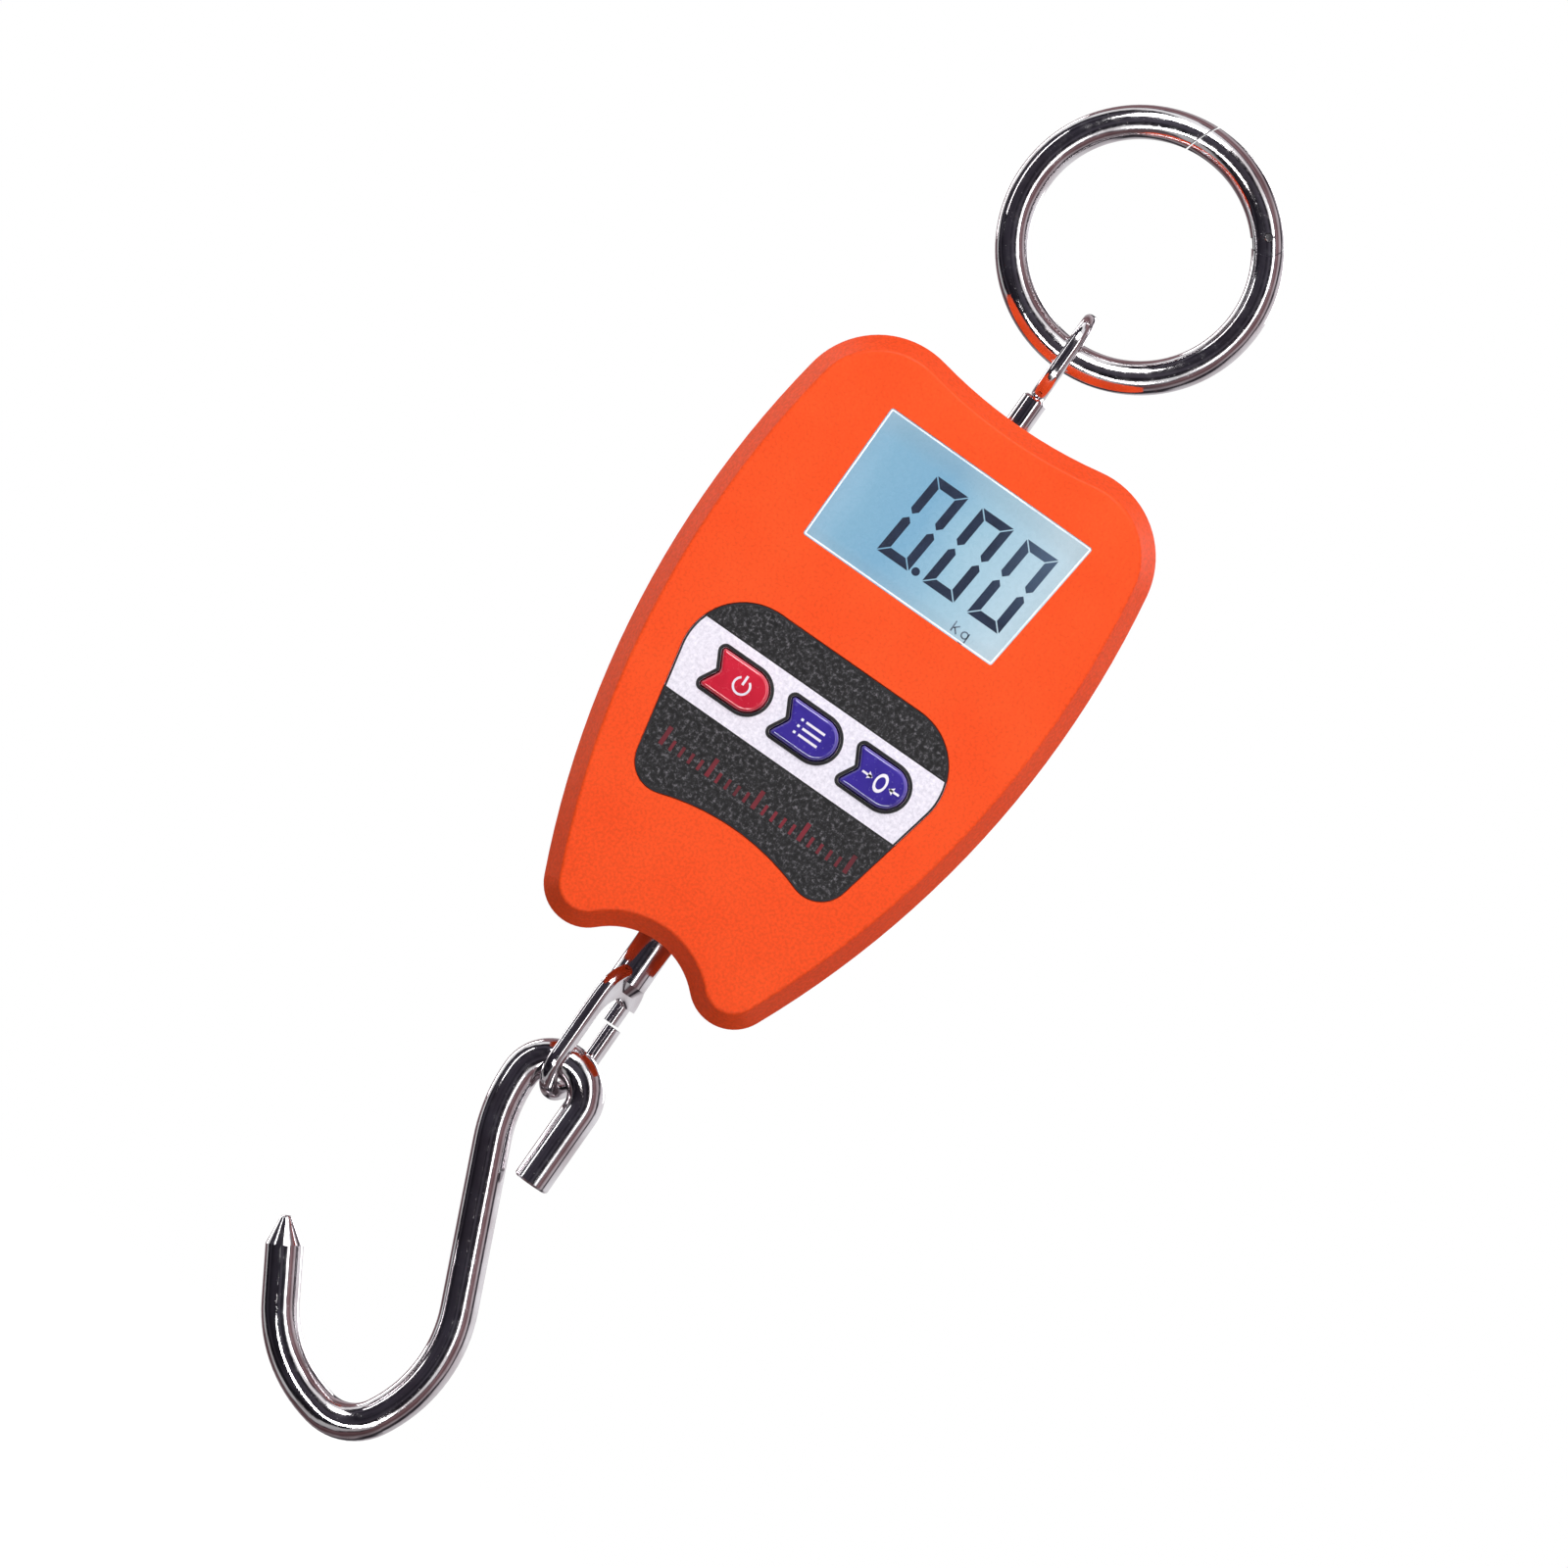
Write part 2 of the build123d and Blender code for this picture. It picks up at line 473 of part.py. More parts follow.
lower_eye_plane = eye_plane(LOWER_EYE_TURN)
strand_x = (LOWER_EYE_R + LOWER_HOLE_R) / 2
crotch_z = DATUM_Z + LOWER_HOLE_TOP + CROTCH_FLAT
stub_plane = Plane(
    origin=(0, 0, DATUM_Z + SPLIT_Z + SPLIT_GAP / 2),
    x_dir=lower_eye_plane.x_dir,
    z_dir=(0, 0, 1),
)
with BuildPart() as lower_eye_bolt:
    with BuildSketch(lower_eye_plane):
        stadium(LOWER_EYE_R, LOWER_EYE_TOP, LOWER_EYE_BOTTOM)
        with BuildSketch(mode=Mode.PRIVATE) as hole:
            stadium(LOWER_HOLE_R, LOWER_HOLE_TOP, LOWER_HOLE_BOTTOM)
        add(hole.sketch, mode=Mode.SUBTRACT)
    extrude(amount=EYE_T / 2, both=True)
    fillet(lower_eye_bolt.faces().filter_by(lower_eye_plane).edges(), EYE_ROUND)
    # The strand that closes the eye is cut, and its upper end stands a little to one side
    with BuildSketch(lower_eye_plane):
        with Locations((-strand_x, SPLIT_Z)):
            Rectangle(2 * strand_x, SPLIT_REACH, align=(Align.CENTER, Align.MIN))
            Rectangle(2 * strand_x, SPLIT_GAP)
        Rectangle(4 * LOWER_EYE_R, SHOULDER_D, mode=Mode.SUBTRACT)
    extrude(amount=EYE_T, both=True, mode=Mode.SUBTRACT)
    with BuildSketch(stub_plane):
        with Locations((-strand_x, -SPLIT_STEP)):
            RectangleRounded(LOWER_EYE_R - LOWER_HOLE_R, EYE_T, EYE_ROUND)
    extrude(amount=SPLIT_REACH + SPLIT_ROOT)
    with BuildSketch(Plane.XZ):
        with BuildLine():
            Polyline(
                (0, crotch_z),
                (SHOULDER_D / 2 - CROTCH_FLAT, crotch_z + CROTCH_RISE),
                (SHOULDER_D / 2, crotch_z + SHOULDER_LEAD),
                (SHOULDER_D / 2, DATUM_Z + SHOULDER_TOP),
                (SHANK_R, DATUM_Z + SHOULDER_TOP),
                (SHANK_R, DATUM_Z + LOWER_SHANK_END - SHANK_BEVEL),
                (SHANK_R - SHANK_BEVEL, DATUM_Z + LOWER_SHANK_END),
                (0, DATUM_Z + LOWER_SHANK_END),
                close=True,
            )
        make_face()
    revolve(axis=Axis.Z)
lower_eye_bolt.part.label = "lower_eye_bolt"
export_step(lower_eye_bolt.part, "parts/lower_eye_bolt.step")


def washer(z, hole_r):
    """Flat washer lying on height z."""
    with BuildPart(mode=Mode.PRIVATE) as disc:
        with BuildSketch(level(z)):
            Circle(WASHER_R)
            Circle(hole_r, mode=Mode.SUBTRACT)
        extrude(amount=WASHER_T)
        chamfer(disc.edges().filter_by(GeomType.CIRCLE).group_by(SortBy.RADIUS)[-1], WASHER_BEVEL)
    return disc.part


def lock_nut(z, hole_r, collar_up):
    """Hexagon nut lying on height z, with a round locking collar on one end."""
    with BuildPart(mode=Mode.PRIVATE) as nut:
        with BuildSketch(level(z if collar_up else z + NUT_COLLAR)):
            RegularPolygon(NUT_AF / 2, 6, major_radius=False)
        extrude(amount=NUT_T - NUT_COLLAR)
        with BuildSketch(level(z)):
            Circle(NUT_AF / 2 - COLLAR_STEP)
        extrude(amount=NUT_T)
        with BuildSketch(level(z)):
            Circle(hole_r)
        extrude(amount=NUT_T, mode=Mode.SUBTRACT)
    return nut.part


upper_washer_z = CELL_TOP - CELL_ARM - THRUST_GAP - WASHER_T
with BuildPart() as upper_washer:
    add(washer(upper_washer_z, SHANK_R))
upper_washer.part.label = "upper_washer"
export_step(upper_washer.part, "parts/upper_washer.step")

with BuildPart() as upper_lock_nut:
    add(lock_nut(upper_washer_z - NUT_T, SHANK_R, collar_up=False))
upper_lock_nut.part.label = "upper_lock_nut"
export_step(upper_lock_nut.part, "parts/upper_lock_nut.step")

lower_washer_z = CELL_BOTTOM + CELL_ARM + THRUST_GAP
with BuildPart() as lower_washer:
    add(washer(lower_washer_z, SHANK_R))
lower_washer.part.label = "lower_washer"
export_step(lower_washer.part, "parts/lower_washer.step")

with BuildPart() as lower_lock_nut:
    add(lock_nut(lower_washer_z + WASHER_T, SHANK_R, collar_up=True))
lower_lock_nut.part.label = "lower_lock_nut"
export_step(lower_lock_nut.part, "parts/lower_lock_nut.step")

# ------------------------------------------------------------------------- load cell

cell_mid = (CELL_TOP + CELL_BOTTOM) / 2
core_h = CELL_TOP - CELL_BOTTOM - 2 * (CELL_ARM + CELL_SLOT)
upper_slot_z = CELL_TOP - CELL_ARM - CELL_SLOT / 2
lower_slot_z = CELL_BOTTOM + CELL_ARM + CELL_SLOT / 2
with BuildPart() as load_cell:
    with BuildSketch(facing(0)):
        with Locations((0, cell_mid)):
            Rectangle(CELL_W, CELL_TOP - CELL_BOTTOM)
        with Locations((CELL_WEB, upper_slot_z), (-CELL_WEB, lower_slot_z)):
            Rectangle(CELL_W, CELL_SLOT, mode=Mode.SUBTRACT)
        # Dog-bone hollow that leaves four thin flexures
        with Locations((0, cell_mid)):
            Rectangle(2 * FLEXURE_X, core_h - 2 * BONE_END, mode=Mode.SUBTRACT)
            with GridLocations(2 * FLEXURE_X, core_h - 2 * FLEXURE_T - 2 * FLEXURE_R, 2, 2):
                Circle(FLEXURE_R, mode=Mode.SUBTRACT)
    extrude(amount=CELL_T / 2, both=True)
    with BuildSketch(level(CELL_TOP)):
        Circle(SHANK_R + SHANK_RUN)
    extrude(amount=-CELL_ARM, mode=Mode.SUBTRACT)
    with BuildSketch(level(CELL_BOTTOM)):
        Circle(SHANK_R + SHANK_RUN)
    extrude(amount=CELL_ARM, mode=Mode.SUBTRACT)
    with BuildSketch(facing(CELL_T / 2)):
        with Locations(CELL_SCREW_SPOTS):
            Circle(CELL_SCREW_R)
    extrude(amount=CELL_T - CELL_FLOOR, mode=Mode.SUBTRACT)
    chamfer(load_cell.faces().sort_by(Axis.Z)[-1].outer_wire().edges(), CELL_BEVEL)
    chamfer(load_cell.faces().sort_by(Axis.Z)[0].outer_wire().edges(), CELL_BEVEL)
load_cell.part.label = "load_cell"
export_step(load_cell.part, "parts/load_cell.step")

slot_floor = cell_mid + core_h / 2
slot_roof = cell_mid - core_h / 2
with BuildPart() as strain_gauges:
    with BuildSketch(level(slot_floor)):
        with GridLocations(2 * FLEXURE_X, 0, 2, 1):
            Rectangle(GAUGE_L, GAUGE_W)
    extrude(amount=GAUGE_T)
    with BuildSketch(level(slot_roof - GAUGE_T)):
        with GridLocations(2 * FLEXURE_X, 0, 2, 1):
            Rectangle(GAUGE_L, GAUGE_W)
    extrude(amount=GAUGE_T)
strain_gauges.part.label = "strain_gauges"
export_step(strain_gauges.part, "parts/strain_gauges.step")

with BuildPart() as gauge_sealant:
    with BuildSketch(level(slot_floor)):
        with GridLocations(2 * FLEXURE_X, 0, 2, 1):
            RectangleRounded(SEALANT_L, SEALANT_W, SEALANT_CORNER_R)
    extrude(amount=SEALANT_T)
    fillet(gauge_sealant.faces().sort_by(Axis.Z)[-2:].edges(), SEALANT_ROUND)
    with BuildSketch(level(slot_roof)):
        with GridLocations(2 * FLEXURE_X, 0, 2, 1):
            RectangleRounded(SEALANT_L, SEALANT_W, SEALANT_CORNER_R)
    extrude(amount=-SEALANT_T)
    fillet(gauge_sealant.faces().sort_by(Axis.Z)[:2].edges(), SEALANT_ROUND)
    add(strain_gauges.part, mode=Mode.SUBTRACT)
gauge_sealant.part.label = "gauge_sealant"
export_step(gauge_sealant.part, "parts/gauge_sealant.step")

# ----------------------------------------------------------------------- case shells

with BuildPart() as front_cavity:
    with BuildSketch(facing(0)):
        add(case_inside.sketch)
    extrude(amount=FRONT_DEPTH - WALL)
    front_face = front_cavity.faces().sort_by(Axis.Y)[0]
    chamfer(front_face.edges(), BEVEL_D, BEVEL_W, reference=front_face)

with BuildPart() as front_shell:
    with BuildSketch(facing(0)):
        add(case_outline.sketch)
    extrude(amount=FRONT_DEPTH)
    front_face = front_shell.faces().sort_by(Axis.Y)[0]
    chamfer(front_face.edges(), BEVEL_D, BEVEL_W, reference=front_face)
    fillet(front_shell.faces().sort_by(Axis.Y)[0].edges(), FACE_EDGE_R)
    chamfer(front_shell.faces().sort_by(Axis.Y)[-1].edges(), SEAM_BEVEL)
    add(front_cavity.part, mode=Mode.SUBTRACT)
    # Display window
    with BuildSketch(facing(-FRONT_DEPTH)):
        add(window_face())
    extrude(amount=-WALL, mode=Mode.SUBTRACT)
    # Recess for the keypad sheet, and the three button holes
    with BuildSketch(facing(-FRONT_DEPTH)):
        add(panel_outline.sketch)
    extrude(amount=-PANEL_RECESS, mode=Mode.SUBTRACT)
    with BuildSketch(facing(-FRONT_DEPTH)):
        for x in BUTTON_XS:
            with Locations((x, BUTTON_Z)):
                add(button_face(BUTTON_SLACK))
    extrude(amount=-WALL, mode=Mode.SUBTRACT)
    # Posts for the case screws, and shorter ones for the board
    with BuildSketch(facing(-FRONT_DEPTH + WALL - POST_OVERLAP)):
        with Locations(CASE_SCREW_SPOTS):
            Circle(POST_R)
    extrude(amount=-(FRONT_DEPTH - WALL + POST_OVERLAP))
    with BuildSketch(facing(BOARD_FRONT)):
        with Locations(BOARD_SCREW_SPOTS):
            Circle(BOARD_POST_R)
    extrude(until=Until.NEXT)
    with BuildSketch(facing(0)):
        with Locations(CASE_SCREW_SPOTS):
            Circle(CASE_SCREW_R)
    extrude(amount=SCREW_BITE, mode=Mode.SUBTRACT)
    with BuildSketch(facing(BOARD_FRONT)):
        with Locations(BOARD_SCREW_SPOTS):
            Circle(BOARD_SCREW_R)
    extrude(amount=BOARD_SCREW_BITE, mode=Mode.SUBTRACT)
    # Step inside the rim for the rear shell's lip
    with BuildSketch(facing(0)):
        add(case_inside.sketch)
        offset(amount=LIP_T + LIP_SLACK)
        add(case_inside.sketch, mode=Mode.SUBTRACT)
    extrude(amount=LIP_H + LIP_SLACK, mode=Mode.SUBTRACT)
    # Half-holes for the two shanks
    with BuildSketch(level(CASE_TOP_NOTCH - 2 * WALL)):
        Circle(SHANK_R + SHANK_ROOM)
    extrude(amount=4 * WALL, mode=Mode.SUBTRACT)
    with BuildSketch(level(CASE_BOTTOM_NOTCH - 2 * WALL)):
        Circle(SHOULDER_D / 2 + SHANK_ROOM)
    extrude(amount=4 * WALL, mode=Mode.SUBTRACT)
front_shell.part.label = "front_shell"
export_step(front_shell.part, "parts/front_shell.step")

compartment_h = TROUGH_TOP - TROUGH_BOTTOM + 2 * TROUGH_WALL
compartment_z = (TROUGH_TOP + TROUGH_BOTTOM) / 2
compartment_w = TROUGH_W + 2 * TROUGH_WALL
door_z = (DOOR_TOP + DOOR_BOTTOM) / 2
door_h = DOOR_TOP - DOOR_BOTTOM
with BuildPart() as rear_shell:
    with BuildSketch(facing(0)):
        add(case_outline.sketch)
    extrude(amount=-REAR_DEPTH)
    fillet(rear_shell.faces().sort_by(Axis.Y)[-1].edges(), REAR_EDGE_R)
    chamfer(rear_shell.faces().sort_by(Axis.Y)[0].edges(), SEAM_BEVEL)
    with BuildSketch(facing(0)):
        add(case_inside.sketch)
    extrude(amount=-(REAR_DEPTH - WALL), mode=Mode.SUBTRACT)
    # Lip that stands into the front shell
    with BuildSketch(facing(0)):
        add(case_inside.sketch)
        offset(amount=LIP_T)
        add(case_inside.sketch, mode=Mode.SUBTRACT)
    extrude(amount=LIP_H)
    # Ledge under the battery door, and the two battery troughs
    with BuildSketch(facing(SEAT_Y - SEAT_T)):
        with Locations((0, door_z)):
            Rectangle(2 * (DOOR_HALF_W + SEAT_RIM), door_h + 2 * SEAT_RIM)
    extrude(amount=-SEAT_T)
    with BuildSketch(facing(TROUGH_FLOOR - TROUGH_WALL)):
        with Locations((CELL_X, compartment_z), (-CELL_X, compartment_z)):
            Rectangle(compartment_w, compartment_h)
    extrude(amount=-(SEAT_Y - TROUGH_FLOOR + TROUGH_WALL))
    with BuildSketch(facing(TROUGH_FLOOR)):
        with Locations((CELL_X, compartment_z), (-CELL_X, compartment_z)):
            Rectangle(TROUGH_W, TROUGH_TOP - TROUGH_BOTTOM)
    extrude(amount=-(REAR_DEPTH - TROUGH_FLOOR), mode=Mode.SUBTRACT)
    # Door opening, with slots for the door's two tabs below and its catch above
    with BuildSketch(facing(SEAT_Y)):
        with Locations((0, door_z)):
            Rectangle(2 * DOOR_HALF_W, door_h)
    extrude(amount=-(REAR_DEPTH - SEAT_Y), mode=Mode.SUBTRACT)
    with BuildSketch(facing(SEAT_Y - TAB_ROOM)):
        with Locations((TAB_X, DOOR_BOTTOM), (-TAB_X, DOOR_BOTTOM)):
            Rectangle(TAB_W + 2 * DOOR_GAP, 2 * (TAB_L + DOOR_GAP + TAB_REACH))
    extrude(amount=-(TAB_ROOM + TAB_T + 2 * DOOR_GAP), mode=Mode.SUBTRACT)
    with BuildSketch(facing(SEAT_Y)):
        with Locations((0, DOOR_TOP)):
            Rectangle(CATCH_W + 2 * DOOR_GAP, 2 * (CATCH_L + DOOR_GAP))
    extrude(amount=-CATCH_ROOM, mode=Mode.SUBTRACT)
    # Bosses for the case screws and for the load cell's screws
    with BuildSketch(facing(0)):
        with Locations(CASE_SCREW_SPOTS):
            Circle(POST_R + BOSS_WALL)
    extrude(amount=-(REAR_DEPTH - WALL + POST_OVERLAP))
    with BuildSketch(facing(CELL_T / 2)):
        with Locations(CELL_SCREW_SPOTS):
            Circle(POST_R)
    extrude(amount=-(SEAT_Y - CELL_T / 2))
    with BuildSketch(facing(REAR_DEPTH)):
        with Locations(CASE_SCREW_SPOTS):
            Circle(CASE_SCREW_R + SCREW_SLIP)
    extrude(amount=REAR_DEPTH, mode=Mode.SUBTRACT)
    with BuildSketch(facing(REAR_DEPTH)):
        with Locations(CASE_SCREW_SPOTS):
            Circle(HEAD_R + HEAD_SLIP)
    extrude(amount=SCREW_SINK, mode=Mode.SUBTRACT)
    with BuildSketch(facing(SEAT_Y)):
        with Locations(CELL_SCREW_SPOTS):
            Circle(CELL_SCREW_R + CELL_SCREW_SLIP)
    extrude(amount=SEAT_Y - CELL_T / 2, mode=Mode.SUBTRACT)
    with BuildSketch(facing(SEAT_Y)):
        with Locations(CELL_SCREW_SPOTS):
            Circle(CELL_HEAD_R + CELL_SCREW_SLIP)
    extrude(amount=CELL_HEAD_T, mode=Mode.SUBTRACT)
    # Slots that let the contacts' tails out of the troughs
    with BuildSketch(level(TROUGH_TOP)):
        with Locations((CELL_X, TAIL_Y), (-CELL_X, TAIL_Y)):
            Rectangle(TAIL_W + TAIL_SLIP, PLATE_T + TAIL_SLIP)
    extrude(amount=TROUGH_WALL, mode=Mode.SUBTRACT)
    with BuildSketch(level(TROUGH_BOTTOM)):
        with Locations((CELL_X, TAIL_Y), (-CELL_X, TAIL_Y)):
            Rectangle(TAIL_W + TAIL_SLIP, PLATE_T + TAIL_SLIP)
    extrude(amount=-TROUGH_WALL, mode=Mode.SUBTRACT)
    # Half-holes for the two shanks
    with BuildSketch(level(CASE_TOP_NOTCH - 2 * WALL)):
        Circle(SHANK_R + SHANK_ROOM)
    extrude(amount=4 * WALL, mode=Mode.SUBTRACT)
    with BuildSketch(level(CASE_BOTTOM_NOTCH - 2 * WALL)):
        Circle(SHOULDER_D / 2 + SHANK_ROOM)
    extrude(amount=4 * WALL, mode=Mode.SUBTRACT)
rear_shell.part.label = "rear_shell"
export_step(rear_shell.part, "parts/rear_shell.step")

with BuildPart() as battery_door:
    with BuildSketch(facing(SEAT_Y + DOOR_SKIN_GAP)):
        with Locations((0, door_z)):
            RectangleRounded(2 * (DOOR_HALF_W - DOOR_GAP), door_h - 2 * DOOR_GAP, DOOR_CORNER_R)
    extrude(amount=-(REAR_DEPTH - SEAT_Y - DOOR_SKIN_GAP))
    # Finger grooves pressed into the door's outer face below its catch
    with BuildSketch(facing(REAR_DEPTH)):
        with Locations((0, DOOR_TOP - GROOVE_DROP)):
            with GridLocations(0, 2 * GROOVE_W, 1, 4):
                SlotOverall(GROOVE_L, GROOVE_W)
    extrude(amount=GROOVE_D, mode=Mode.SUBTRACT)
    # Slits on both sides of the catch let it flex
    with BuildSketch(facing(REAR_DEPTH)):
        with Locations((0, DOOR_TOP)):
            with GridLocations(SLIT_SPAN, 0, 2, 1):
                Rectangle(SLIT_W, 2 * CATCH_SLIT)
    extrude(amount=REAR_DEPTH - SEAT_Y, mode=Mode.SUBTRACT)
    with BuildSketch(facing(SEAT_Y + DOOR_SKIN_GAP)):
        with Locations((TAB_X, DOOR_BOTTOM + DOOR_GAP), (-TAB_X, DOOR_BOTTOM + DOOR_GAP)):
            Rectangle(TAB_W, 2 * TAB_L)
    extrude(amount=-TAB_T)
    with BuildSketch(facing(SEAT_Y + DOOR_SKIN_GAP)):
        with Locations((0, DOOR_TOP - DOOR_GAP)):
            Rectangle(CATCH_W, 2 * CATCH_L)
    extrude(amount=-CATCH_T)
battery_door.part.label = "battery_door"
export_step(battery_door.part, "parts/battery_door.step")

# --------------------------------------------------------------------------- display

with BuildPart() as lcd_lens:
    with BuildSketch(facing(LENS_FRONT)):
        add(window_face(-LENS_SLACK))
    extrude(amount=LENS_FRONT - LENS_BACK)
    with BuildSketch(facing(LENS_BACK)):
        add(window_face(LENS_FLANGE))
    extrude(amount=LENS_BACK + FRONT_DEPTH - WALL)
lcd_lens.part.label = "lcd_lens"
export_step(lcd_lens.part, "parts/lcd_lens.step")

with BuildPart() as lcd_gasket:
    with BuildSketch(facing(GLASS_FRONT)):
        add(window_face(LENS_FLANGE))
        add(window_face(GASKET_BACKSET), mode=Mode.SUBTRACT)
    extrude(amount=GLASS_FRONT - LENS_BACK)
lcd_gasket.part.label = "lcd_gasket"
export_step(lcd_gasket.part, "parts/lcd_gasket.step")

with BuildPart() as lcd_frame:
    with BuildSketch(facing(BOARD_FRONT)):
        with Locations(DISPLAY_C):
            RectangleRounded(GLASS_W + 2 * FRAME_T, GLASS_H + 2 * FRAME_T, FRAME_CORNER_R)
            Rectangle(GLASS_W + 2 * GLASS_ROOM, GLASS_H + 2 * GLASS_ROOM, mode=Mode.SUBTRACT)
    extrude(amount=BOARD_FRONT - GLASS_FRONT)
lcd_frame.part.label = "lcd_frame"
export_step(lcd_frame.part, "parts/lcd_frame.step")

with BuildPart() as lcd_glass:
    with BuildSketch(facing(GLASS_BACK)):
        with Locations(DISPLAY_C):
            Rectangle(GLASS_W, GLASS_H)
    extrude(amount=GLASS_BACK - GLASS_FRONT)
lcd_glass.part.label = "lcd_glass"
export_step(lcd_glass.part, "parts/lcd_glass.step")

glass_low = DISPLAY_C[1] - GLASS_H / 2
glass_high = DISPLAY_C[1] + GLASS_H / 2
with BuildPart() as backlight:
    with BuildSketch(facing(BOARD_FRONT)):
        with Locations((DISPLAY_C[0], glass_high)):
            Rectangle(GLASS_W, GLASS_H - ZEBRA_ROOM, align=(Align.CENTER, Align.MAX))
    extrude(amount=BOARD_FRONT - GLASS_BACK)
backlight.part.label = "backlight"
export_step(backlight.part, "parts/backlight.step")

with BuildPart() as zebra_strip:
    with BuildSketch(facing(BOARD_FRONT)):
        with Locations((DISPLAY_C[0], glass_low + ZEBRA_ROOM / 2)):
            Rectangle(ZEBRA_L, ZEBRA_W)
    extrude(amount=BOARD_FRONT - GLASS_BACK)
zebra_strip.part.label = "zebra_strip"
export_step(zebra_strip.part, "parts/zebra_strip.step")

# ------------------------------------------------------------ keypad sheet and buttons

with BuildPart() as keypad_overlay:
    with BuildSketch(facing(PANEL_RECESS - FRONT_DEPTH)):
        add(panel_outline.sketch)
        offset(amount=-PANEL_SLACK)
        for x in BUTTON_XS:
            with Locations((x, BUTTON_Z)):
                add(button_face(BUTTON_SLACK), mode=Mode.SUBTRACT)
    extrude(amount=PANEL_T)
keypad_overlay.part.label = "keypad_overlay"
export_step(keypad_overlay.part, "parts/keypad_overlay.step")

button_top = -FRONT_DEPTH - BUTTON_PROUD
flange_front = WALL + FLANGE_GAP - FRONT_DEPTH
switch_top = BOARD_FRONT - SWITCH_H
plunger_top = switch_top - PLUNGER_STANDS
for name, x in zip(BUTTON_NAMES, BUTTON_XS):
    with BuildPart() as button:
        with BuildSketch(facing(flange_front)):
            with Locations((x, BUTTON_Z)):
                add(button_face())
        extrude(amount=flange_front - button_top)
        fillet(button.faces().sort_by(Axis.Y)[0].edges(), BUTTON_EDGE_R)
        with BuildSketch(facing(flange_front + FLANGE_T)):
            with Locations((x, BUTTON_Z)):
                add(button_face(FLANGE_LIP))
        extrude(amount=FLANGE_T)
        with BuildSketch(facing(plunger_top)):
            with Locations((x, BUTTON_Z)):
                Circle(STEM_R)
        extrude(amount=plunger_top - flange_front - FLANGE_T)
    button.part.label = f"{name}_button"
    export_step(button.part, f"parts/{name}_button.step")

    with BuildPart() as plunger:
        with BuildSketch(facing(switch_top + PLUNGER_IN)):
            with Locations((x, BUTTON_Z)):
                Circle(PLUNGER_R)
        extrude(amount=PLUNGER_IN + PLUNGER_STANDS)
    plunger.part.label = f"{name}_plunger"
    export_step(plunger.part, f"parts/{name}_plunger.step")

switch_spots = [(x, BUTTON_Z) for x in BUTTON_XS]
with BuildPart() as tact_switches:
    with BuildSketch(facing(BOARD_FRONT)):
        with Locations(switch_spots):
            Rectangle(SWITCH_SIZE, SWITCH_SIZE)
    extrude(amount=SWITCH_H)
    with BuildSketch(facing(switch_top)):
        with Locations(switch_spots):
            Circle(PLUNGER_R + PLUNGER_SLIP)
    extrude(amount=-(PLUNGER_IN + BUTTON_TRAVEL + PLUNGER_ROOM), mode=Mode.SUBTRACT)
tact_switches.part.label = "tact_switches"
export_step(tact_switches.part, "parts/tact_switches.step")

# ---------------------------------------------------------------------- circuit board

with BuildPart() as main_board:
    with BuildSketch(facing(BOARD_BACK)):
        with Locations((0, (BOARD_TOP + BOARD_BOTTOM) / 2)):
            RectangleRounded(2 * BOARD_HALF_W, BOARD_TOP - BOARD_BOTTOM, BOARD_CORNER_R)
        with Locations(CASE_SCREW_SPOTS):
            Circle(POST_R + BOSS_WALL, mode=Mode.SUBTRACT)
        with Locations(BOARD_SCREW_SPOTS):
            Circle(BOARD_SCREW_R + BOARD_SCREW_SLIP, mode=Mode.SUBTRACT)
    extrude(amount=BOARD_BACK - BOARD_FRONT)
main_board.part.label = "main_board"
export_step(main_board.part, "parts/main_board.step")

# Front of the board: epoxy blob over the processor, crystal can and chip resistors.
# Back: converter chip and two capacitors.
with BuildPart() as board_chips:
    with BuildSketch(facing(BOARD_FRONT)):
        with Locations(BLOB_SPOT):
            Circle(BLOB_R)
    extrude(amount=BLOB_H)
    fillet(board_chips.faces().sort_by(Axis.Y)[0].edges(), BLOB_ROUND)
    with BuildSketch(facing(BOARD_FRONT)):
        with Locations(CRYSTAL_SPOT):
            SlotOverall(CRYSTAL_L, CRYSTAL_W)
    extrude(amount=CRYSTAL_H)
    with BuildSketch(facing(BOARD_FRONT)):
        with Locations(RESISTOR_SPOT):
            with GridLocations(RESISTOR_STEP, RESISTOR_STEP, 2, 3):
                Rectangle(RESISTOR_L, RESISTOR_W)
    extrude(amount=RESISTOR_H)
    with BuildSketch(facing(BOARD_BACK)):
        with Locations(CONVERTER_SPOT):
            Rectangle(CONVERTER_L, CONVERTER_W)
    extrude(amount=-CONVERTER_H)
    with BuildSketch(facing(BOARD_BACK)):
        with Locations((CAPACITOR_X, CAPACITOR_Z), (-CAPACITOR_X, CAPACITOR_Z)):
            Circle(CAPACITOR_R)
    extrude(amount=-CAPACITOR_L)
board_chips.part.label = "board_chips"
export_step(board_chips.part, "parts/board_chips.step")

# --------------------------------------------------------------------------- batteries

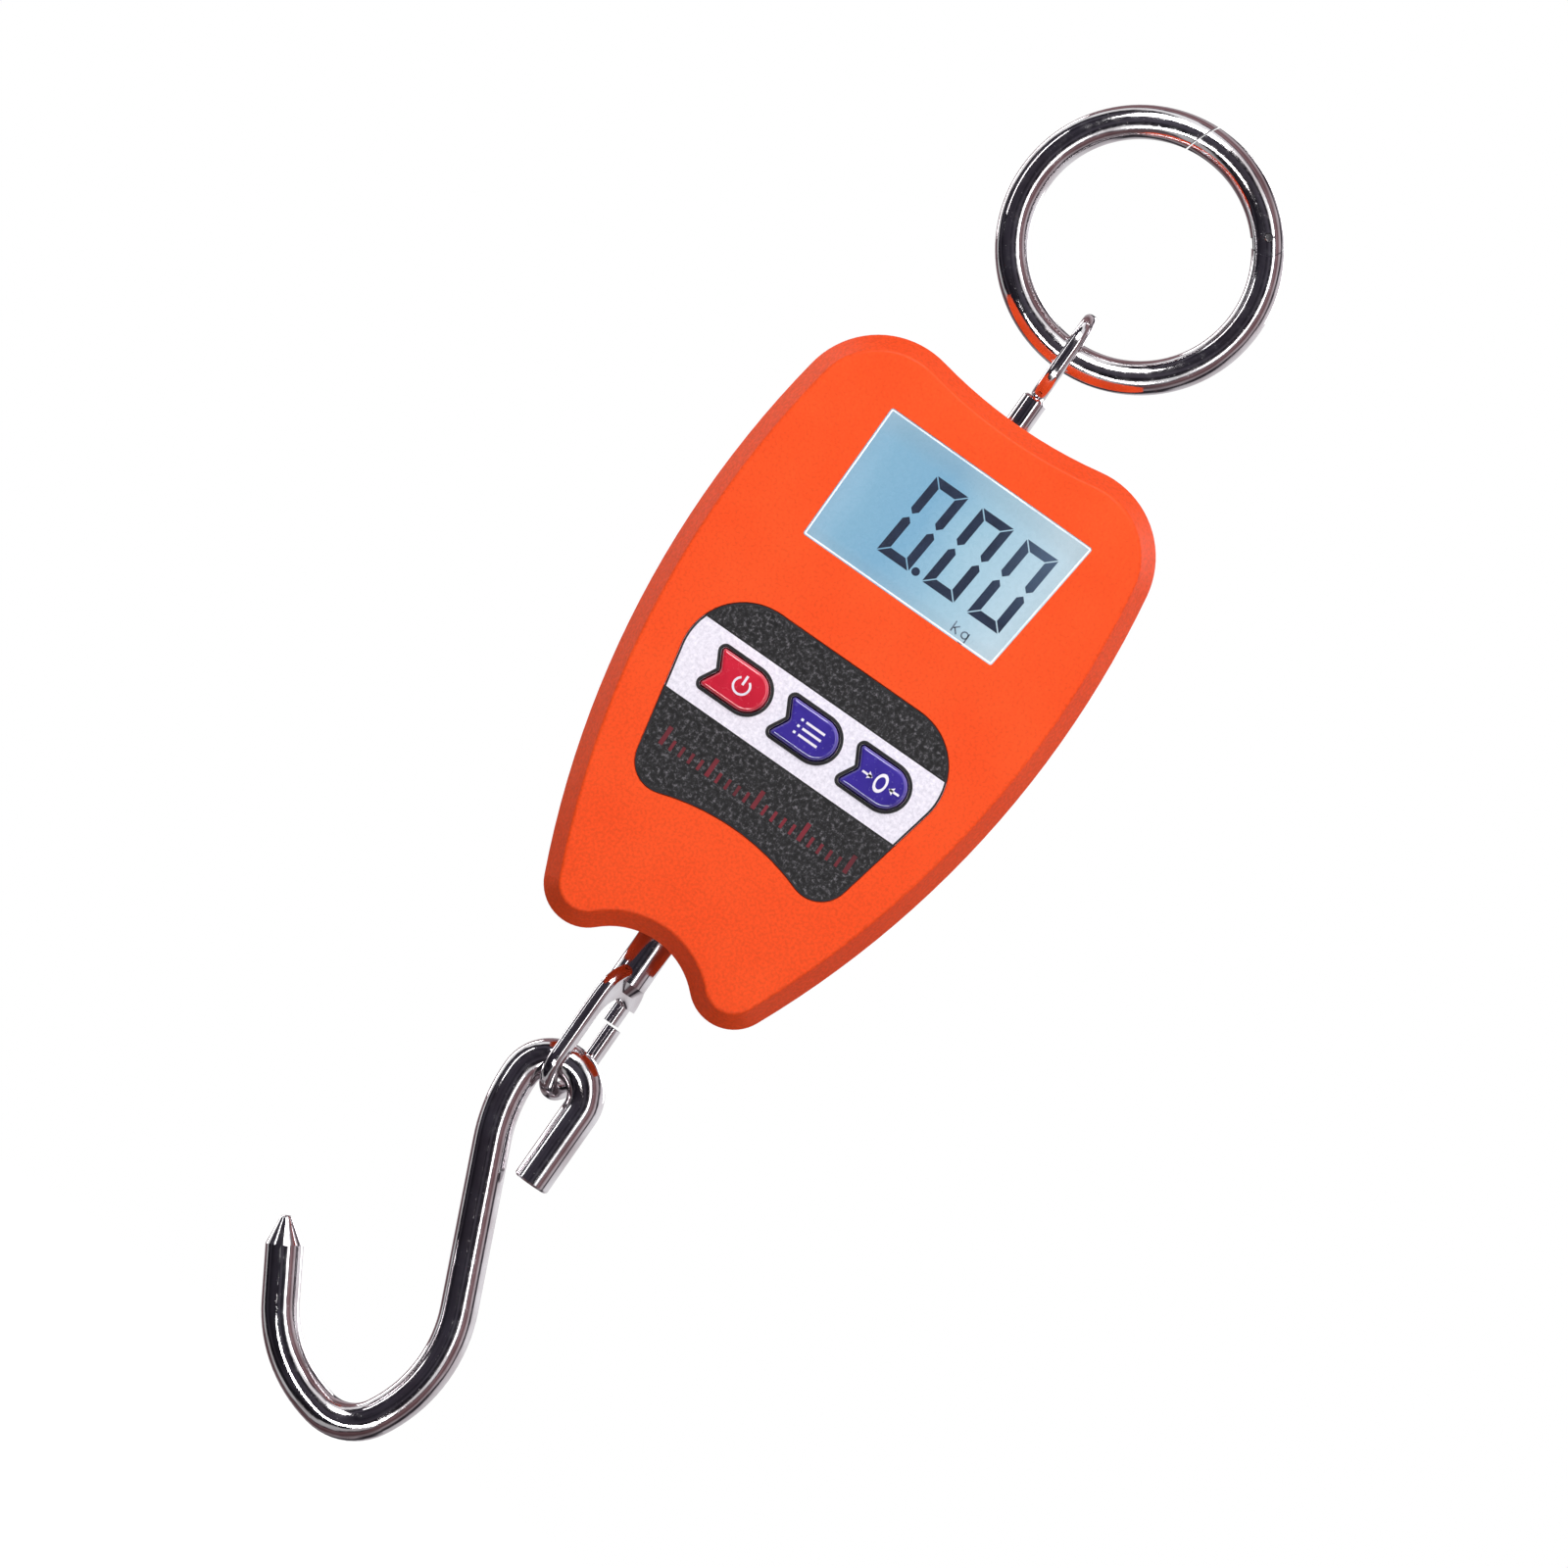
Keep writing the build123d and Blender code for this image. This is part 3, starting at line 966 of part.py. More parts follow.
trough_mid = (TROUGH_TOP + TROUGH_BOTTOM) / 2
plate_face = TROUGH_TOP - PLATE_T
with BuildPart() as battery_cells:
    with BuildSketch(level(plate_face - NUB_T)):
        with Locations((-CELL_X, CELL_Y)):
            Circle(CELL_D / 2)
    extrude(amount=NUB_T - CELL_L)
    fillet(battery_cells.edges().filter_by(GeomType.CIRCLE), CELL_ROUND)
    with BuildSketch(level(plate_face - NUB_T)):
        with Locations((-CELL_X, CELL_Y)):
            Circle(NUB_R)
    extrude(amount=NUB_T)
    # The second cell stands the other way up
    with Locations(Location((0, 0, 2 * (DATUM_Z + trough_mid)), (0, 180, 0))):
        add(battery_cells.part)
battery_cells.part.label = "battery_cells"
export_step(battery_cells.part, "parts/battery_cells.step")

with BuildPart() as battery_plates:
    with BuildSketch(level(plate_face)):
        with Locations((CELL_X, CELL_Y), (-CELL_X, CELL_Y)):
            Rectangle(PLATE_W, PLATE_H)
    extrude(amount=PLATE_T)
    with BuildSketch(level(TROUGH_TOP)):
        with Locations((CELL_X, TAIL_Y), (-CELL_X, TAIL_Y)):
            Rectangle(TAIL_W, PLATE_T)
    extrude(amount=TAIL_L)
    with BuildSketch(level(TROUGH_BOTTOM)):
        with Locations((CELL_X, CELL_Y), (-CELL_X, CELL_Y)):
            Rectangle(PLATE_W, PLATE_H)
    extrude(amount=PLATE_T)
    with BuildSketch(level(TROUGH_BOTTOM)):
        with Locations((CELL_X, TAIL_Y), (-CELL_X, TAIL_Y)):
            Rectangle(TAIL_W, PLATE_T)
    extrude(amount=-TAIL_L)
battery_plates.part.label = "battery_plates"
export_step(battery_plates.part, "parts/battery_plates.step")

# Coil springs at the two negative ends, between contact plate and cell
spring_room = TROUGH_TOP - TROUGH_BOTTOM - 2 * PLATE_T - CELL_L
coil_rise = spring_room - 2 * CONTACT_WIRE_R - 2 * CONTACT_GAP
coil_foot = DATUM_Z + TROUGH_BOTTOM + PLATE_T + CONTACT_WIRE_R + CONTACT_GAP
with BuildPart() as battery_springs:
    with BuildLine(Plane(origin=(-CELL_X, CELL_Y, coil_foot))):
        coil = Helix(coil_rise / CONTACT_TURNS, coil_rise, CONTACT_COIL_R)
    with BuildSketch(Plane(coil @ 0, z_dir=coil % 0)):
        Circle(CONTACT_WIRE_R)
    sweep(is_frenet=True)
    with Locations(Location((0, 0, 2 * (DATUM_Z + trough_mid)), (0, 180, 0))):
        add(battery_springs.part)
battery_springs.part.label = "battery_springs"
export_step(battery_springs.part, "parts/battery_springs.step")

# ------------------------------------------------------------------------------ wires


def wire_along(points, bend, radius):
    """Insulated wire through the points (heights from the datum), with rounded corners."""
    route = [(x, y, DATUM_Z + z) for x, y, z in points]
    with BuildPart(mode=Mode.PRIVATE) as lead:
        with BuildLine() as run:
            FilletPolyline(*route, radius=bend)
        with BuildSketch(Plane(run.line @ 0, z_dir=run.line % 0)):
            Circle(radius)
        sweep()
    return lead.part


tail_z = TROUGH_TOP + TAIL_L - TAIL_JOINT
foot_z = TROUGH_BOTTOM - TAIL_L + TAIL_JOINT
tail_front, tail_back = TAIL_Y - PLATE_T / 2, TAIL_Y + PLATE_T / 2
with BuildPart() as battery_wires:
    for side in (-CELL_X, CELL_X):
        lead_points = [
            (side, tail_front, tail_z),
            (side, LEAD_Y, tail_z),
            (side, LEAD_Y, tail_z + LEAD_RISE),
            (side, BOARD_BACK, tail_z + LEAD_RISE),
        ]
        add(wire_along(lead_points, LEAD_BEND, LEAD_R))
    link_points = [
        (CELL_X, tail_back, foot_z),
        (CELL_X, LINK_Y, foot_z),
        (CELL_X, LINK_Y, LINK_Z),
        (-CELL_X, LINK_Y, LINK_Z),
        (-CELL_X, LINK_Y, foot_z),
        (-CELL_X, tail_back, foot_z),
    ]
    add(wire_along(link_points, LINK_BEND, LEAD_R))
battery_wires.part.label = "battery_wires"
export_step(battery_wires.part, "parts/battery_wires.step")

with BuildPart() as gauge_wires:
    for x in (-FLEXURE_X, FLEXURE_X):
        for side, start in ((1, slot_floor + SEALANT_T), (-1, slot_roof - SEALANT_T)):
            run_z = start + side * GAUGE_WIRE_RISE
            gauge_points = [(x, GAUGE_WIRE_Y, start), (x, GAUGE_WIRE_Y, run_z), (x, BOARD_BACK, run_z)]
            add(wire_along(gauge_points, LEAD_BEND, GAUGE_WIRE_R))
gauge_wires.part.label = "gauge_wires"
export_step(gauge_wires.part, "parts/gauge_wires.step")

# ------------------------------------------------------------------------------ screws


def screws(spots, seat_y, head_r, head_t, shank_r, shank_l):
    """Pan-head screws driven towards the front, with heads that sit on depth seat_y."""
    with BuildPart(mode=Mode.PRIVATE) as group:
        with BuildSketch(facing(seat_y)):
            with Locations(spots):
                Circle(head_r)
        extrude(amount=-head_t)
        fillet(group.faces().filter_by(Axis.Y).group_by(Axis.Y)[-1].edges(), HEAD_ROUND)
        with BuildSketch(facing(seat_y + head_t)):
            with Locations(spots):
                Rectangle(head_r * CROSS_L, CROSS_W)
                Rectangle(CROSS_W, head_r * CROSS_L)
        extrude(amount=head_t / 2, mode=Mode.SUBTRACT)
        with BuildSketch(facing(seat_y)):
            with Locations(spots):
                Circle(shank_r)
        extrude(amount=shank_l)
    return group.part


with BuildPart() as case_screws:
    case_seat = REAR_DEPTH - SCREW_SINK
    add(screws(CASE_SCREW_SPOTS, case_seat, HEAD_R, HEAD_T, CASE_SCREW_R, CASE_SCREW_L))
case_screws.part.label = "case_screws"
export_step(case_screws.part, "parts/case_screws.step")

with BuildPart() as board_screws:
    board_seat = (BOARD_BACK, BOARD_HEAD_R, BOARD_HEAD_T)
    add(screws(BOARD_SCREW_SPOTS, *board_seat, BOARD_SCREW_R, BOARD_SCREW_L))
board_screws.part.label = "board_screws"
export_step(board_screws.part, "parts/board_screws.step")

with BuildPart() as cell_screws:
    cell_seat = (SEAT_Y - CELL_HEAD_T, CELL_HEAD_R, CELL_HEAD_T)
    add(screws(CELL_SCREW_SPOTS, *cell_seat, CELL_SCREW_R, CELL_SCREW_L))
cell_screws.part.label = "cell_screws"
export_step(cell_screws.part, "parts/cell_screws.step")
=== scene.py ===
import math

import bmesh
import bpy
from mathutils import Matrix, Vector


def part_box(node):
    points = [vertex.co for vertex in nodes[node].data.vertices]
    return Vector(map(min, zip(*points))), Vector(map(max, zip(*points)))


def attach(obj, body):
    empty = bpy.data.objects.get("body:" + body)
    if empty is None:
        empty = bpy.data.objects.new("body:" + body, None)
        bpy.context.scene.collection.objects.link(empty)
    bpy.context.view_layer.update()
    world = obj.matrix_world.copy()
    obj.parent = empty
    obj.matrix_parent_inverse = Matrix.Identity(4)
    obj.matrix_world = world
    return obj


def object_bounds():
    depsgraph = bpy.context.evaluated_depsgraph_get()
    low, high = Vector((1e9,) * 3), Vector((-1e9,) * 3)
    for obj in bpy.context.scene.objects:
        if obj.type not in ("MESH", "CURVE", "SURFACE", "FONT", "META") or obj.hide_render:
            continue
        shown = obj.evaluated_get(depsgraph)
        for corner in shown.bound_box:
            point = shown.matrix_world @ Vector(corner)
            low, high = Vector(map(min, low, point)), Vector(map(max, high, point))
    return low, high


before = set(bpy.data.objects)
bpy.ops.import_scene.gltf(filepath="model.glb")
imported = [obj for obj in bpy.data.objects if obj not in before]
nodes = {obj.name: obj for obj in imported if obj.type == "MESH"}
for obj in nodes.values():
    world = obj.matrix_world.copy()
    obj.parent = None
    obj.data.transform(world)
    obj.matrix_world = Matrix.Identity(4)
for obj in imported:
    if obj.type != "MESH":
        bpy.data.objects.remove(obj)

cad_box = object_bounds()
MM = 0.001
scene = bpy.context.scene
scene.view_settings.view_transform = "Standard"


# ------------------------------------------------------------------ small tools

def rgb(red, green, blue, alpha=1.0):
    """Display values 0-255 as the linear colour that sockets take."""
    linear = []
    for value in (red, green, blue):
        part = value / 255.0
        linear.append(part / 12.92 if part <= 0.04045 else ((part + 0.055) / 1.055) ** 2.4)
    return (*linear, alpha)


class Finish:
    """A material with a Principled shader, and short calls for its nodes. Sizes are in millimetres."""

    def __init__(self, name, **sockets):
        self.material = bpy.data.materials.new(name)
        self.material.use_nodes = True
        self.tree = self.material.node_tree
        self.shader = self.tree.nodes["Principled BSDF"]
        for socket, value in sockets.items():
            self.give(socket.replace("_", " "), value)
        self.place = self.add("TexCoord").outputs["Object"]

    def add(self, kind, **settings):
        node = self.tree.nodes.new("ShaderNode" + kind)
        for key, value in settings.items():
            setattr(node, key, value)
        return node

    def put(self, node, socket, value):
        if isinstance(value, bpy.types.NodeSocket):
            self.tree.links.new(value, node.inputs[socket])
        else:
            node.inputs[socket].default_value = value

    def give(self, socket, value):
        self.put(self.shader, socket, value)

    def axis(self, letter):
        """That object coordinate, in millimetres."""
        parts = self.add("SeparateXYZ")
        self.put(parts, 0, self.place)
        return self.math("MULTIPLY", parts.outputs[letter], 1000.0)

    def math(self, operation, first, second=0.0, third=0.0):
        node = self.add("Math", operation=operation)
        for socket, value in enumerate((first, second, third)):
            self.put(node, socket, value)
        return node.outputs[0]

    def stretched(self, stretch, turn=(0.0, 0.0, 0.0)):
        node = self.add("Mapping")
        self.put(node, "Vector", self.place)
        node.inputs["Scale"].default_value = stretch
        node.inputs["Rotation"].default_value = [math.radians(angle) for angle in turn]
        return node.outputs[0]

    def noise(self, size, detail=2.0, rough=0.5, vector=None):
        node = self.add("TexNoise")
        self.put(node, "Vector", vector or self.place)
        node.inputs["Scale"].default_value = 1000.0 / size
        node.inputs["Detail"].default_value = detail
        node.inputs["Roughness"].default_value = rough
        return node.outputs["Fac"]

    def cells(self, size):
        node = self.add("TexVoronoi", feature="F1")
        self.put(node, "Vector", self.place)
        node.inputs["Scale"].default_value = 1000.0 / size
        return node.outputs["Distance"]

    def ramp(self, factor, *stops, mode="LINEAR"):
        node = self.add("ValToRGB")
        node.color_ramp.interpolation = mode
        elements = node.color_ramp.elements
        while len(elements) < len(stops):
            elements.new(0.5)
        for element, (position, colour) in zip(elements, stops):
            element.position = position
            element.color = colour
        self.put(node, "Fac", factor)
        return node.outputs["Color"]

    def span(self, value, low, high, to_low=0.0, to_high=1.0):
        node = self.add("MapRange")
        for socket, number in enumerate((value, low, high, to_low, to_high)):
            self.put(node, socket, number)
        return node.outputs[0]

    def mix(self, factor, first, second, kind="MIX"):
        node = self.add("Mix", data_type="RGBA", blend_type=kind)
        self.put(node, 0, factor)
        self.put(node, 6, first)
        self.put(node, 7, second)
        return node.outputs[2]

    def bump(self, height, depth, after=None):
        node = self.add("Bump")
        node.inputs["Distance"].default_value = depth * MM
        self.put(node, "Height", height)
        if after is not None:
            self.put(node, "Normal", after)
        return node.outputs[0]

    def mottle(self, first, second, size, detail=3.0):
        """Colour that drifts between two close tones."""
        return self.mix(self.span(self.noise(size, detail), 0.35, 0.65), first, second)


def paint(finish, *names):
    for name in names:
        for position in range(max(1, len(nodes[name].material_slots))):
            if not nodes[name].material_slots:
                nodes[name].data.materials.append(None)
            nodes[name].material_slots[position].material = finish.material


# ------------------------------------------------------------------ camera and light

FRAME_WIDTH = 282.56 * MM
LENS, SENSOR = 180.0, 36.0
AIM = Vector((2.59 * MM, 0.0, -135.65 * MM))
ROLL = math.radians(-35.0)
distance = FRAME_WIDTH * LENS / SENSOR

camera_data = bpy.data.cameras.new("view")
camera_data.lens = LENS
camera_data.sensor_width = SENSOR
camera = bpy.data.objects.new("view", camera_data)
right = Vector((math.cos(ROLL), 0.0, -math.sin(ROLL)))
up = Vector((math.sin(ROLL), 0.0, math.cos(ROLL)))
back = Vector((0.0, -1.0, 0.0))
turned = Matrix((right, up, back)).transposed().to_4x4()
camera.matrix_world = Matrix.Translation(AIM + back * distance) @ turned
scene.collection.objects.link(camera)
scene.camera = camera


def softbox(name, place, size, power):
    """A rectangular lamp at place, turned to the middle of the object."""
    lamp = bpy.data.lights.new(name, "AREA")
    lamp.shape = "RECTANGLE"
    lamp.size, lamp.size_y = size
    lamp.energy = power
    holder = bpy.data.objects.new(name, lamp)
    holder.location = place
    holder.rotation_euler = (AIM - Vector(place)).to_track_quat("-Z", "Y").to_euler()
    scene.collection.objects.link(holder)


softbox("key", (-0.30, -1.05, 0.95), (0.75, 0.5), 16.5)
softbox("strip", (0.62, -1.15, 0.25), (0.12, 1.1), 2.4)
softbox("edge", (-1.25, -0.35, 0.1), (0.12, 1.0), 1.6)
softbox("fill", (0.15, -1.15, -0.72), (1.0, 0.16), 13.0)
softbox("behind", (0.6, 1.25, 0.5), (0.9, 0.7), 11.0)
softbox("behind_left", (-1.0, 1.0, 0.1), (0.2, 1.2), 4.5)

# The camera sees plain white. Everything else sees walls whose tone depends on the angle to DARK_SIDE
DARK_SIDE = Vector((-0.72, -0.69, -0.06))
PATCH_SWAY = 0.2
DIM_BELOW, FULL_ABOVE, DIM_STRENGTH = -0.7, 0.15, 0.5

world = bpy.data.worlds.new("studio")
scene.world = world
world.use_nodes = True
sky = world.node_tree
plain = sky.nodes["Background"]
room = sky.nodes.new("ShaderNodeBackground")
choose = sky.nodes.new("ShaderNodeMixShader")
eye = sky.nodes.new("ShaderNodeLightPath")
direction = sky.nodes.new("ShaderNodeTexCoord")
facing = sky.nodes.new("ShaderNodeVectorMath")
facing.operation = "DOT_PRODUCT"
facing.inputs[1].default_value = DARK_SIDE.normalized()
spread = sky.nodes.new("ShaderNodeMapRange")
spread.inputs["From Min"].default_value = -1.0
walls = sky.nodes.new("ShaderNodeValToRGB")
wall_stops = (
    (0.00, rgb(244, 242, 244)),
    (0.10, rgb(232, 226, 230)),
    (0.14, rgb(64, 60, 66)),
    (0.20, rgb(72, 66, 72)),
    (0.25, rgb(206, 194, 198)),
    (0.38, rgb(116, 88, 91)),
    (0.50, rgb(154, 122, 126)),
    (0.555, rgb(58, 51, 56)),
    (0.58, rgb(240, 236, 240)),
    (0.64, rgb(255, 255, 255)),
    (0.70, rgb(255, 255, 255)),
    (0.72, rgb(52, 49, 56)),
    (0.79, rgb(30, 28, 35)),
    (0.85, rgb(80, 76, 86)),
    (0.91, rgb(38, 36, 44)),
    (1.00, rgb(66, 62, 72)),
)
while len(walls.color_ramp.elements) < len(wall_stops):
    walls.color_ramp.elements.new(0.5)
for element, (position, colour) in zip(walls.color_ramp.elements, wall_stops):
    element.position = position
    element.color = colour
patches = sky.nodes.new("ShaderNodeTexNoise")
patches.inputs["Scale"].default_value = 3.0
patches.inputs["Detail"].default_value = 4.0
nudge = sky.nodes.new("ShaderNodeMath")
nudge.operation = "MULTIPLY_ADD"
nudge.inputs[1].default_value = PATCH_SWAY
wobble = sky.nodes.new("ShaderNodeMath")
wobble.operation = "SUBTRACT"
wobble.inputs[1].default_value = PATCH_SWAY / 2
plain.inputs["Color"].default_value = (1.0, 1.0, 1.0, 1.0)
up_down = sky.nodes.new("ShaderNodeSeparateXYZ")
low_light = sky.nodes.new("ShaderNodeMapRange")
low_light.inputs["From Min"].default_value = DIM_BELOW
low_light.inputs["From Max"].default_value = FULL_ABOVE
low_light.inputs["To Min"].default_value = DIM_STRENGTH
low_light.inputs["To Max"].default_value = 1.0
link = sky.links.new
link(direction.outputs["Generated"], up_down.inputs[0])
link(up_down.outputs["Z"], low_light.inputs["Value"])
link(low_light.outputs[0], room.inputs["Strength"])
link(direction.outputs["Generated"], facing.inputs[0])
link(facing.outputs["Value"], spread.inputs["Value"])
link(direction.outputs["Generated"], patches.inputs["Vector"])
link(patches.outputs["Fac"], nudge.inputs[0])
link(spread.outputs[0], nudge.inputs[2])
link(nudge.outputs[0], wobble.inputs[0])
link(wobble.outputs[0], walls.inputs["Fac"])
link(walls.outputs["Color"], room.inputs["Color"])
link(eye.outputs["Is Camera Ray"], choose.inputs[0])
link(room.outputs[0], choose.inputs[1])
link(plain.outputs[0], choose.inputs[2])
link(choose.outputs[0], sky.nodes["World Output"].inputs["Surface"])

# Pale floor, a disc that fades out at its edge
FLOOR_Z = cad_box[0].z - 55.0 * MM
FLOOR_R, FADE_START, FADE_END = 0.75, 0.36, 0.74
FLOOR_SIDES = 96
floor_angles = [turn * math.tau / FLOOR_SIDES for turn in range(FLOOR_SIDES)]
floor_points = [(FLOOR_R * math.cos(angle), FLOOR_R * math.sin(angle), FLOOR_Z) for angle in floor_angles]
floor_mesh = bpy.data.meshes.new("floor")
floor_mesh.from_pydata(floor_points, [], [tuple(range(FLOOR_SIDES))])
floor = bpy.data.objects.new("floor", floor_mesh)
scene.collection.objects.link(floor)
floor.visible_glossy = False
floor.visible_diffuse = False
floor_finish = Finish("floor_paint", Roughness=0.6, Emission_Color=(1.0, 1.0, 1.0, 1.0),
                      Emission_Strength=0.3)
floor_finish.give("Base Color", floor_finish.mottle(rgb(250, 250, 250), rgb(244, 244, 245), 60.0))
floor_length = floor_finish.add("VectorMath", operation="LENGTH")
floor_finish.put(floor_length, 0, floor_finish.place)
floor_fade = floor_finish.span(floor_length.outputs["Value"], FADE_START, FADE_END, 1.0, 0.0)
floor_finish.give("Alpha", floor_fade)
floor_mesh.materials.append(floor_finish.material)


# ------------------------------------------------------------------ finishes of the CAD nodes

def plated(name, bright, dull, smooth, worn, grain):
    """Plated or drawn metal: cloudy tone, patchy gloss, fine scratches and small pits."""
    metal = Finish(name, Metallic=1.0)
    cloud = metal.noise(7.0, 3.0)
    metal.give("Base Color", metal.mix(metal.span(cloud, 0.35, 0.65), bright, dull))
    scratches = metal.noise(0.22, 2.0, vector=metal.stretched((1.0, 1.0, 0.06), (14.0, 8.0, 0.0)))
    pits = metal.span(metal.cells(0.8), 0.04, 0.18, 1.0, 0.0)
    patchy = metal.span(metal.noise(1.6, 3.0), 0.35, 0.7, smooth, worn)
    metal.give("Roughness", metal.math("ADD", patchy, metal.math("MULTIPLY", pits, worn)))
    metal.give("Normal", metal.bump(scratches, grain, metal.bump(metal.noise(2.4, 2.0), grain * 6.0)))
    return metal


def moulded(name, first, second, rough, grain, grain_size=0.35):
    """Moulded plastic: slight drift of tone, fine pebbled texture and uneven gloss."""
    plastic = Finish(name)
    plastic.give("Base Color", plastic.mottle(first, second, 11.0))
    pebbles = plastic.noise(grain_size, 3.0, 0.6)
    broad = plastic.noise(6.0, 2.0)
    plastic.give("Roughness", plastic.span(plastic.noise(1.1, 3.0), 0.3, 0.7, rough - 0.05, rough + 0.07))
    plastic.give("Normal", plastic.bump(pebbles, grain, plastic.bump(broad, grain * 1.5)))
    return plastic


chrome = plated("chrome", rgb(232, 231, 234), rgb(206, 199, 202), 0.06, 0.17, 0.0013)
paint(chrome, "ring_body", "ring_gate", "upper_eye_bolt", "lower_eye_bolt", "s_hook")

pin_steel = plated("pin_steel", rgb(205, 204, 203), rgb(178, 176, 176), 0.16, 0.26, 0.0015)
paint(pin_steel, "gate_pin", "gate_plunger")

spring_steel = plated("spring_steel", rgb(196, 195, 196), rgb(160, 158, 160), 0.18, 0.32, 0.0012)
paint(spring_steel, "gate_spring", "battery_springs")

zinc_steel = plated("zinc_steel", rgb(206, 210, 216), rgb(184, 184, 178), 0.24, 0.38, 0.0025)
paint(zinc_steel, "upper_washer", "upper_lock_nut", "lower_washer", "lower_lock_nut", "cell_screws",
      "board_screws", "case_screws")

nickel = plated("nickel", rgb(216, 212, 200), rgb(190, 186, 172), 0.2, 0.34, 0.0016)
paint(nickel, "battery_plates")

aluminium = plated("aluminium", rgb(214, 216, 220), rgb(196, 198, 202), 0.26, 0.4, 0.003)
paint(aluminium, "load_cell")

orange = Finish("orange_plastic", Specular_IOR_Level=0.16)
tone = orange.mottle(rgb(247, 83, 33), rgb(243, 78, 29), 16.0)
specks = orange.span(orange.noise(0.55, 2.0), 0.32, 0.68, 0.88, 1.08)
speck_tone = orange.add("CombineColor")
for channel in range(3):
    orange.put(speck_tone, channel, specks)
orange.give("Base Color", orange.mix(1.0, tone, speck_tone.outputs[0], "MULTIPLY"))
pebbles = orange.noise(0.42, 3.0, 0.62)
orange.give("Roughness", orange.span(orange.noise(0.9, 3.0), 0.3, 0.7, 0.42, 0.54))
orange.give("Normal", orange.bump(pebbles, 0.028, orange.bump(orange.noise(5.0, 2.0), 0.03)))
paint(orange, "front_shell", "rear_shell", "battery_door")

black_plastic = moulded("black_plastic", rgb(30, 30, 31), rgb(42, 41, 42), 0.45, 0.012)
paint(black_plastic, "lcd_frame", "tact_switches")

white_plastic = moulded("white_plastic", rgb(236, 235, 230), rgb(224, 223, 217), 0.42, 0.006)
paint(white_plastic, "backlight", "power_plunger", "mode_plunger", "tare_plunger")

foam = moulded("foam", rgb(34, 34, 36), rgb(48, 48, 50), 0.9, 0.05, 0.25)
paint(foam, "lcd_gasket")

chips = moulded("chips", rgb(26, 27, 29), rgb(36, 37, 39), 0.55, 0.006, 0.12)
paint(chips, "board_chips")

sealant = moulded("sealant", rgb(238, 238, 232), rgb(222, 222, 214), 0.35, 0.02, 1.4)
paint(sealant, "gauge_sealant")

wire_jacket = moulded("wire_jacket", rgb(178, 30, 26), rgb(158, 22, 20), 0.42, 0.006, 0.3)
paint(wire_jacket, "battery_wires", "gauge_wires")

# Battery jacket: bare negative end, dark body and a copper-coloured positive end. The cell on the left
# stands with that end up, and the other cell the other way
jacket = Finish("battery_jacket", Metallic=0.55)
cells_low, cells_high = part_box("battery_cells")
cells_middle = (cells_low.z + cells_high.z) / 2 / MM
upright = jacket.math("MULTIPLY", jacket.math("SIGN", jacket.axis("X")), -1.0)
along = jacket.math("MULTIPLY", jacket.math("SUBTRACT", jacket.axis("Z"), cells_middle), upright)
CELL_HALF = 22.8
band = jacket.ramp(jacket.span(along, -CELL_HALF, CELL_HALF), (0.0, rgb(196, 196, 196)),
                   (0.04, rgb(42, 46, 54)), (0.7, rgb(190, 134, 74)), (0.965, rgb(200, 198, 194)),
                   mode="CONSTANT")
scuffs = jacket.span(jacket.noise(1.5, 3.0), 0.3, 0.7, 0.0, 0.12)
jacket.give("Base Color", jacket.mix(scuffs, band, rgb(90, 92, 98)))
jacket.give("Roughness", jacket.span(jacket.noise(0.8, 2.0), 0.3, 0.7, 0.22, 0.34))
jacket.give("Normal", jacket.bump(jacket.noise(0.5, 2.0), 0.002))
paint(jacket, "battery_cells")

# Layered conductive elastomer of the strip between display and board
rubber = Finish("rubber")
layers = rubber.add("TexWave", bands_direction="X")
rubber.put(layers, "Vector", rubber.place)
layers.inputs["Scale"].default_value = 900.0
rubber.give("Base Color", rubber.mix(layers.outputs["Fac"], rgb(60, 60, 70), rgb(214, 206, 214)))
rubber.give("Roughness", rubber.span(rubber.noise(0.6), 0.3, 0.7, 0.5, 0.7))
rubber.give("Normal", rubber.bump(layers.outputs["Fac"], 0.01))
paint(rubber, "zebra_strip")

# Strain gauges: a meander of copper-coloured foil on amber film
foil = Finish("gauge_foil")
grid = foil.add("TexWave", bands_direction="X")
foil.put(grid, "Vector", foil.place)
grid.inputs["Scale"].default_value = 700.0
lines = foil.span(grid.outputs["Fac"], 0.45, 0.55)
foil.give("Base Color", foil.mix(lines, rgb(206, 150, 70), rgb(222, 178, 132)))
foil.give("Metallic", foil.math("MULTIPLY", lines, 0.7))
foil.give("Roughness", foil.span(foil.noise(0.7), 0.3, 0.7, 0.3, 0.45))
foil.give("Normal", foil.bump(lines, 0.004))
paint(foil, "strain_gauges")

# Circuit board: green mask over a grid of tracks, with tinned pads
board = Finish("board", Coat_Weight=0.3, Coat_Roughness=0.2)
across = board.add("TexBrick", offset=0.5, squash=1.0)
board.put(across, "Vector", board.stretched((1.0, 1.0, 1.0), (90.0, 0.0, 0.0)))
across.inputs["Scale"].default_value = 260.0
across.inputs["Mortar Size"].default_value = 0.04
across.inputs["Color1"].default_value = rgb(22, 98, 52)
across.inputs["Color2"].default_value = rgb(26, 108, 58)
across.inputs["Mortar"].default_value = rgb(44, 138, 80)
pads = board.span(board.cells(3.6), 0.10, 0.13, 1.0, 0.0)
board.give("Base Color", board.mix(pads, across.outputs["Color"], rgb(206, 204, 190)))
board.give("Metallic", board.math("MULTIPLY", pads, 0.8))
board.give("Roughness", board.span(board.noise(0.9), 0.3, 0.7, 0.26, 0.4))
board.give("Normal", board.bump(across.outputs["Fac"], 0.02))
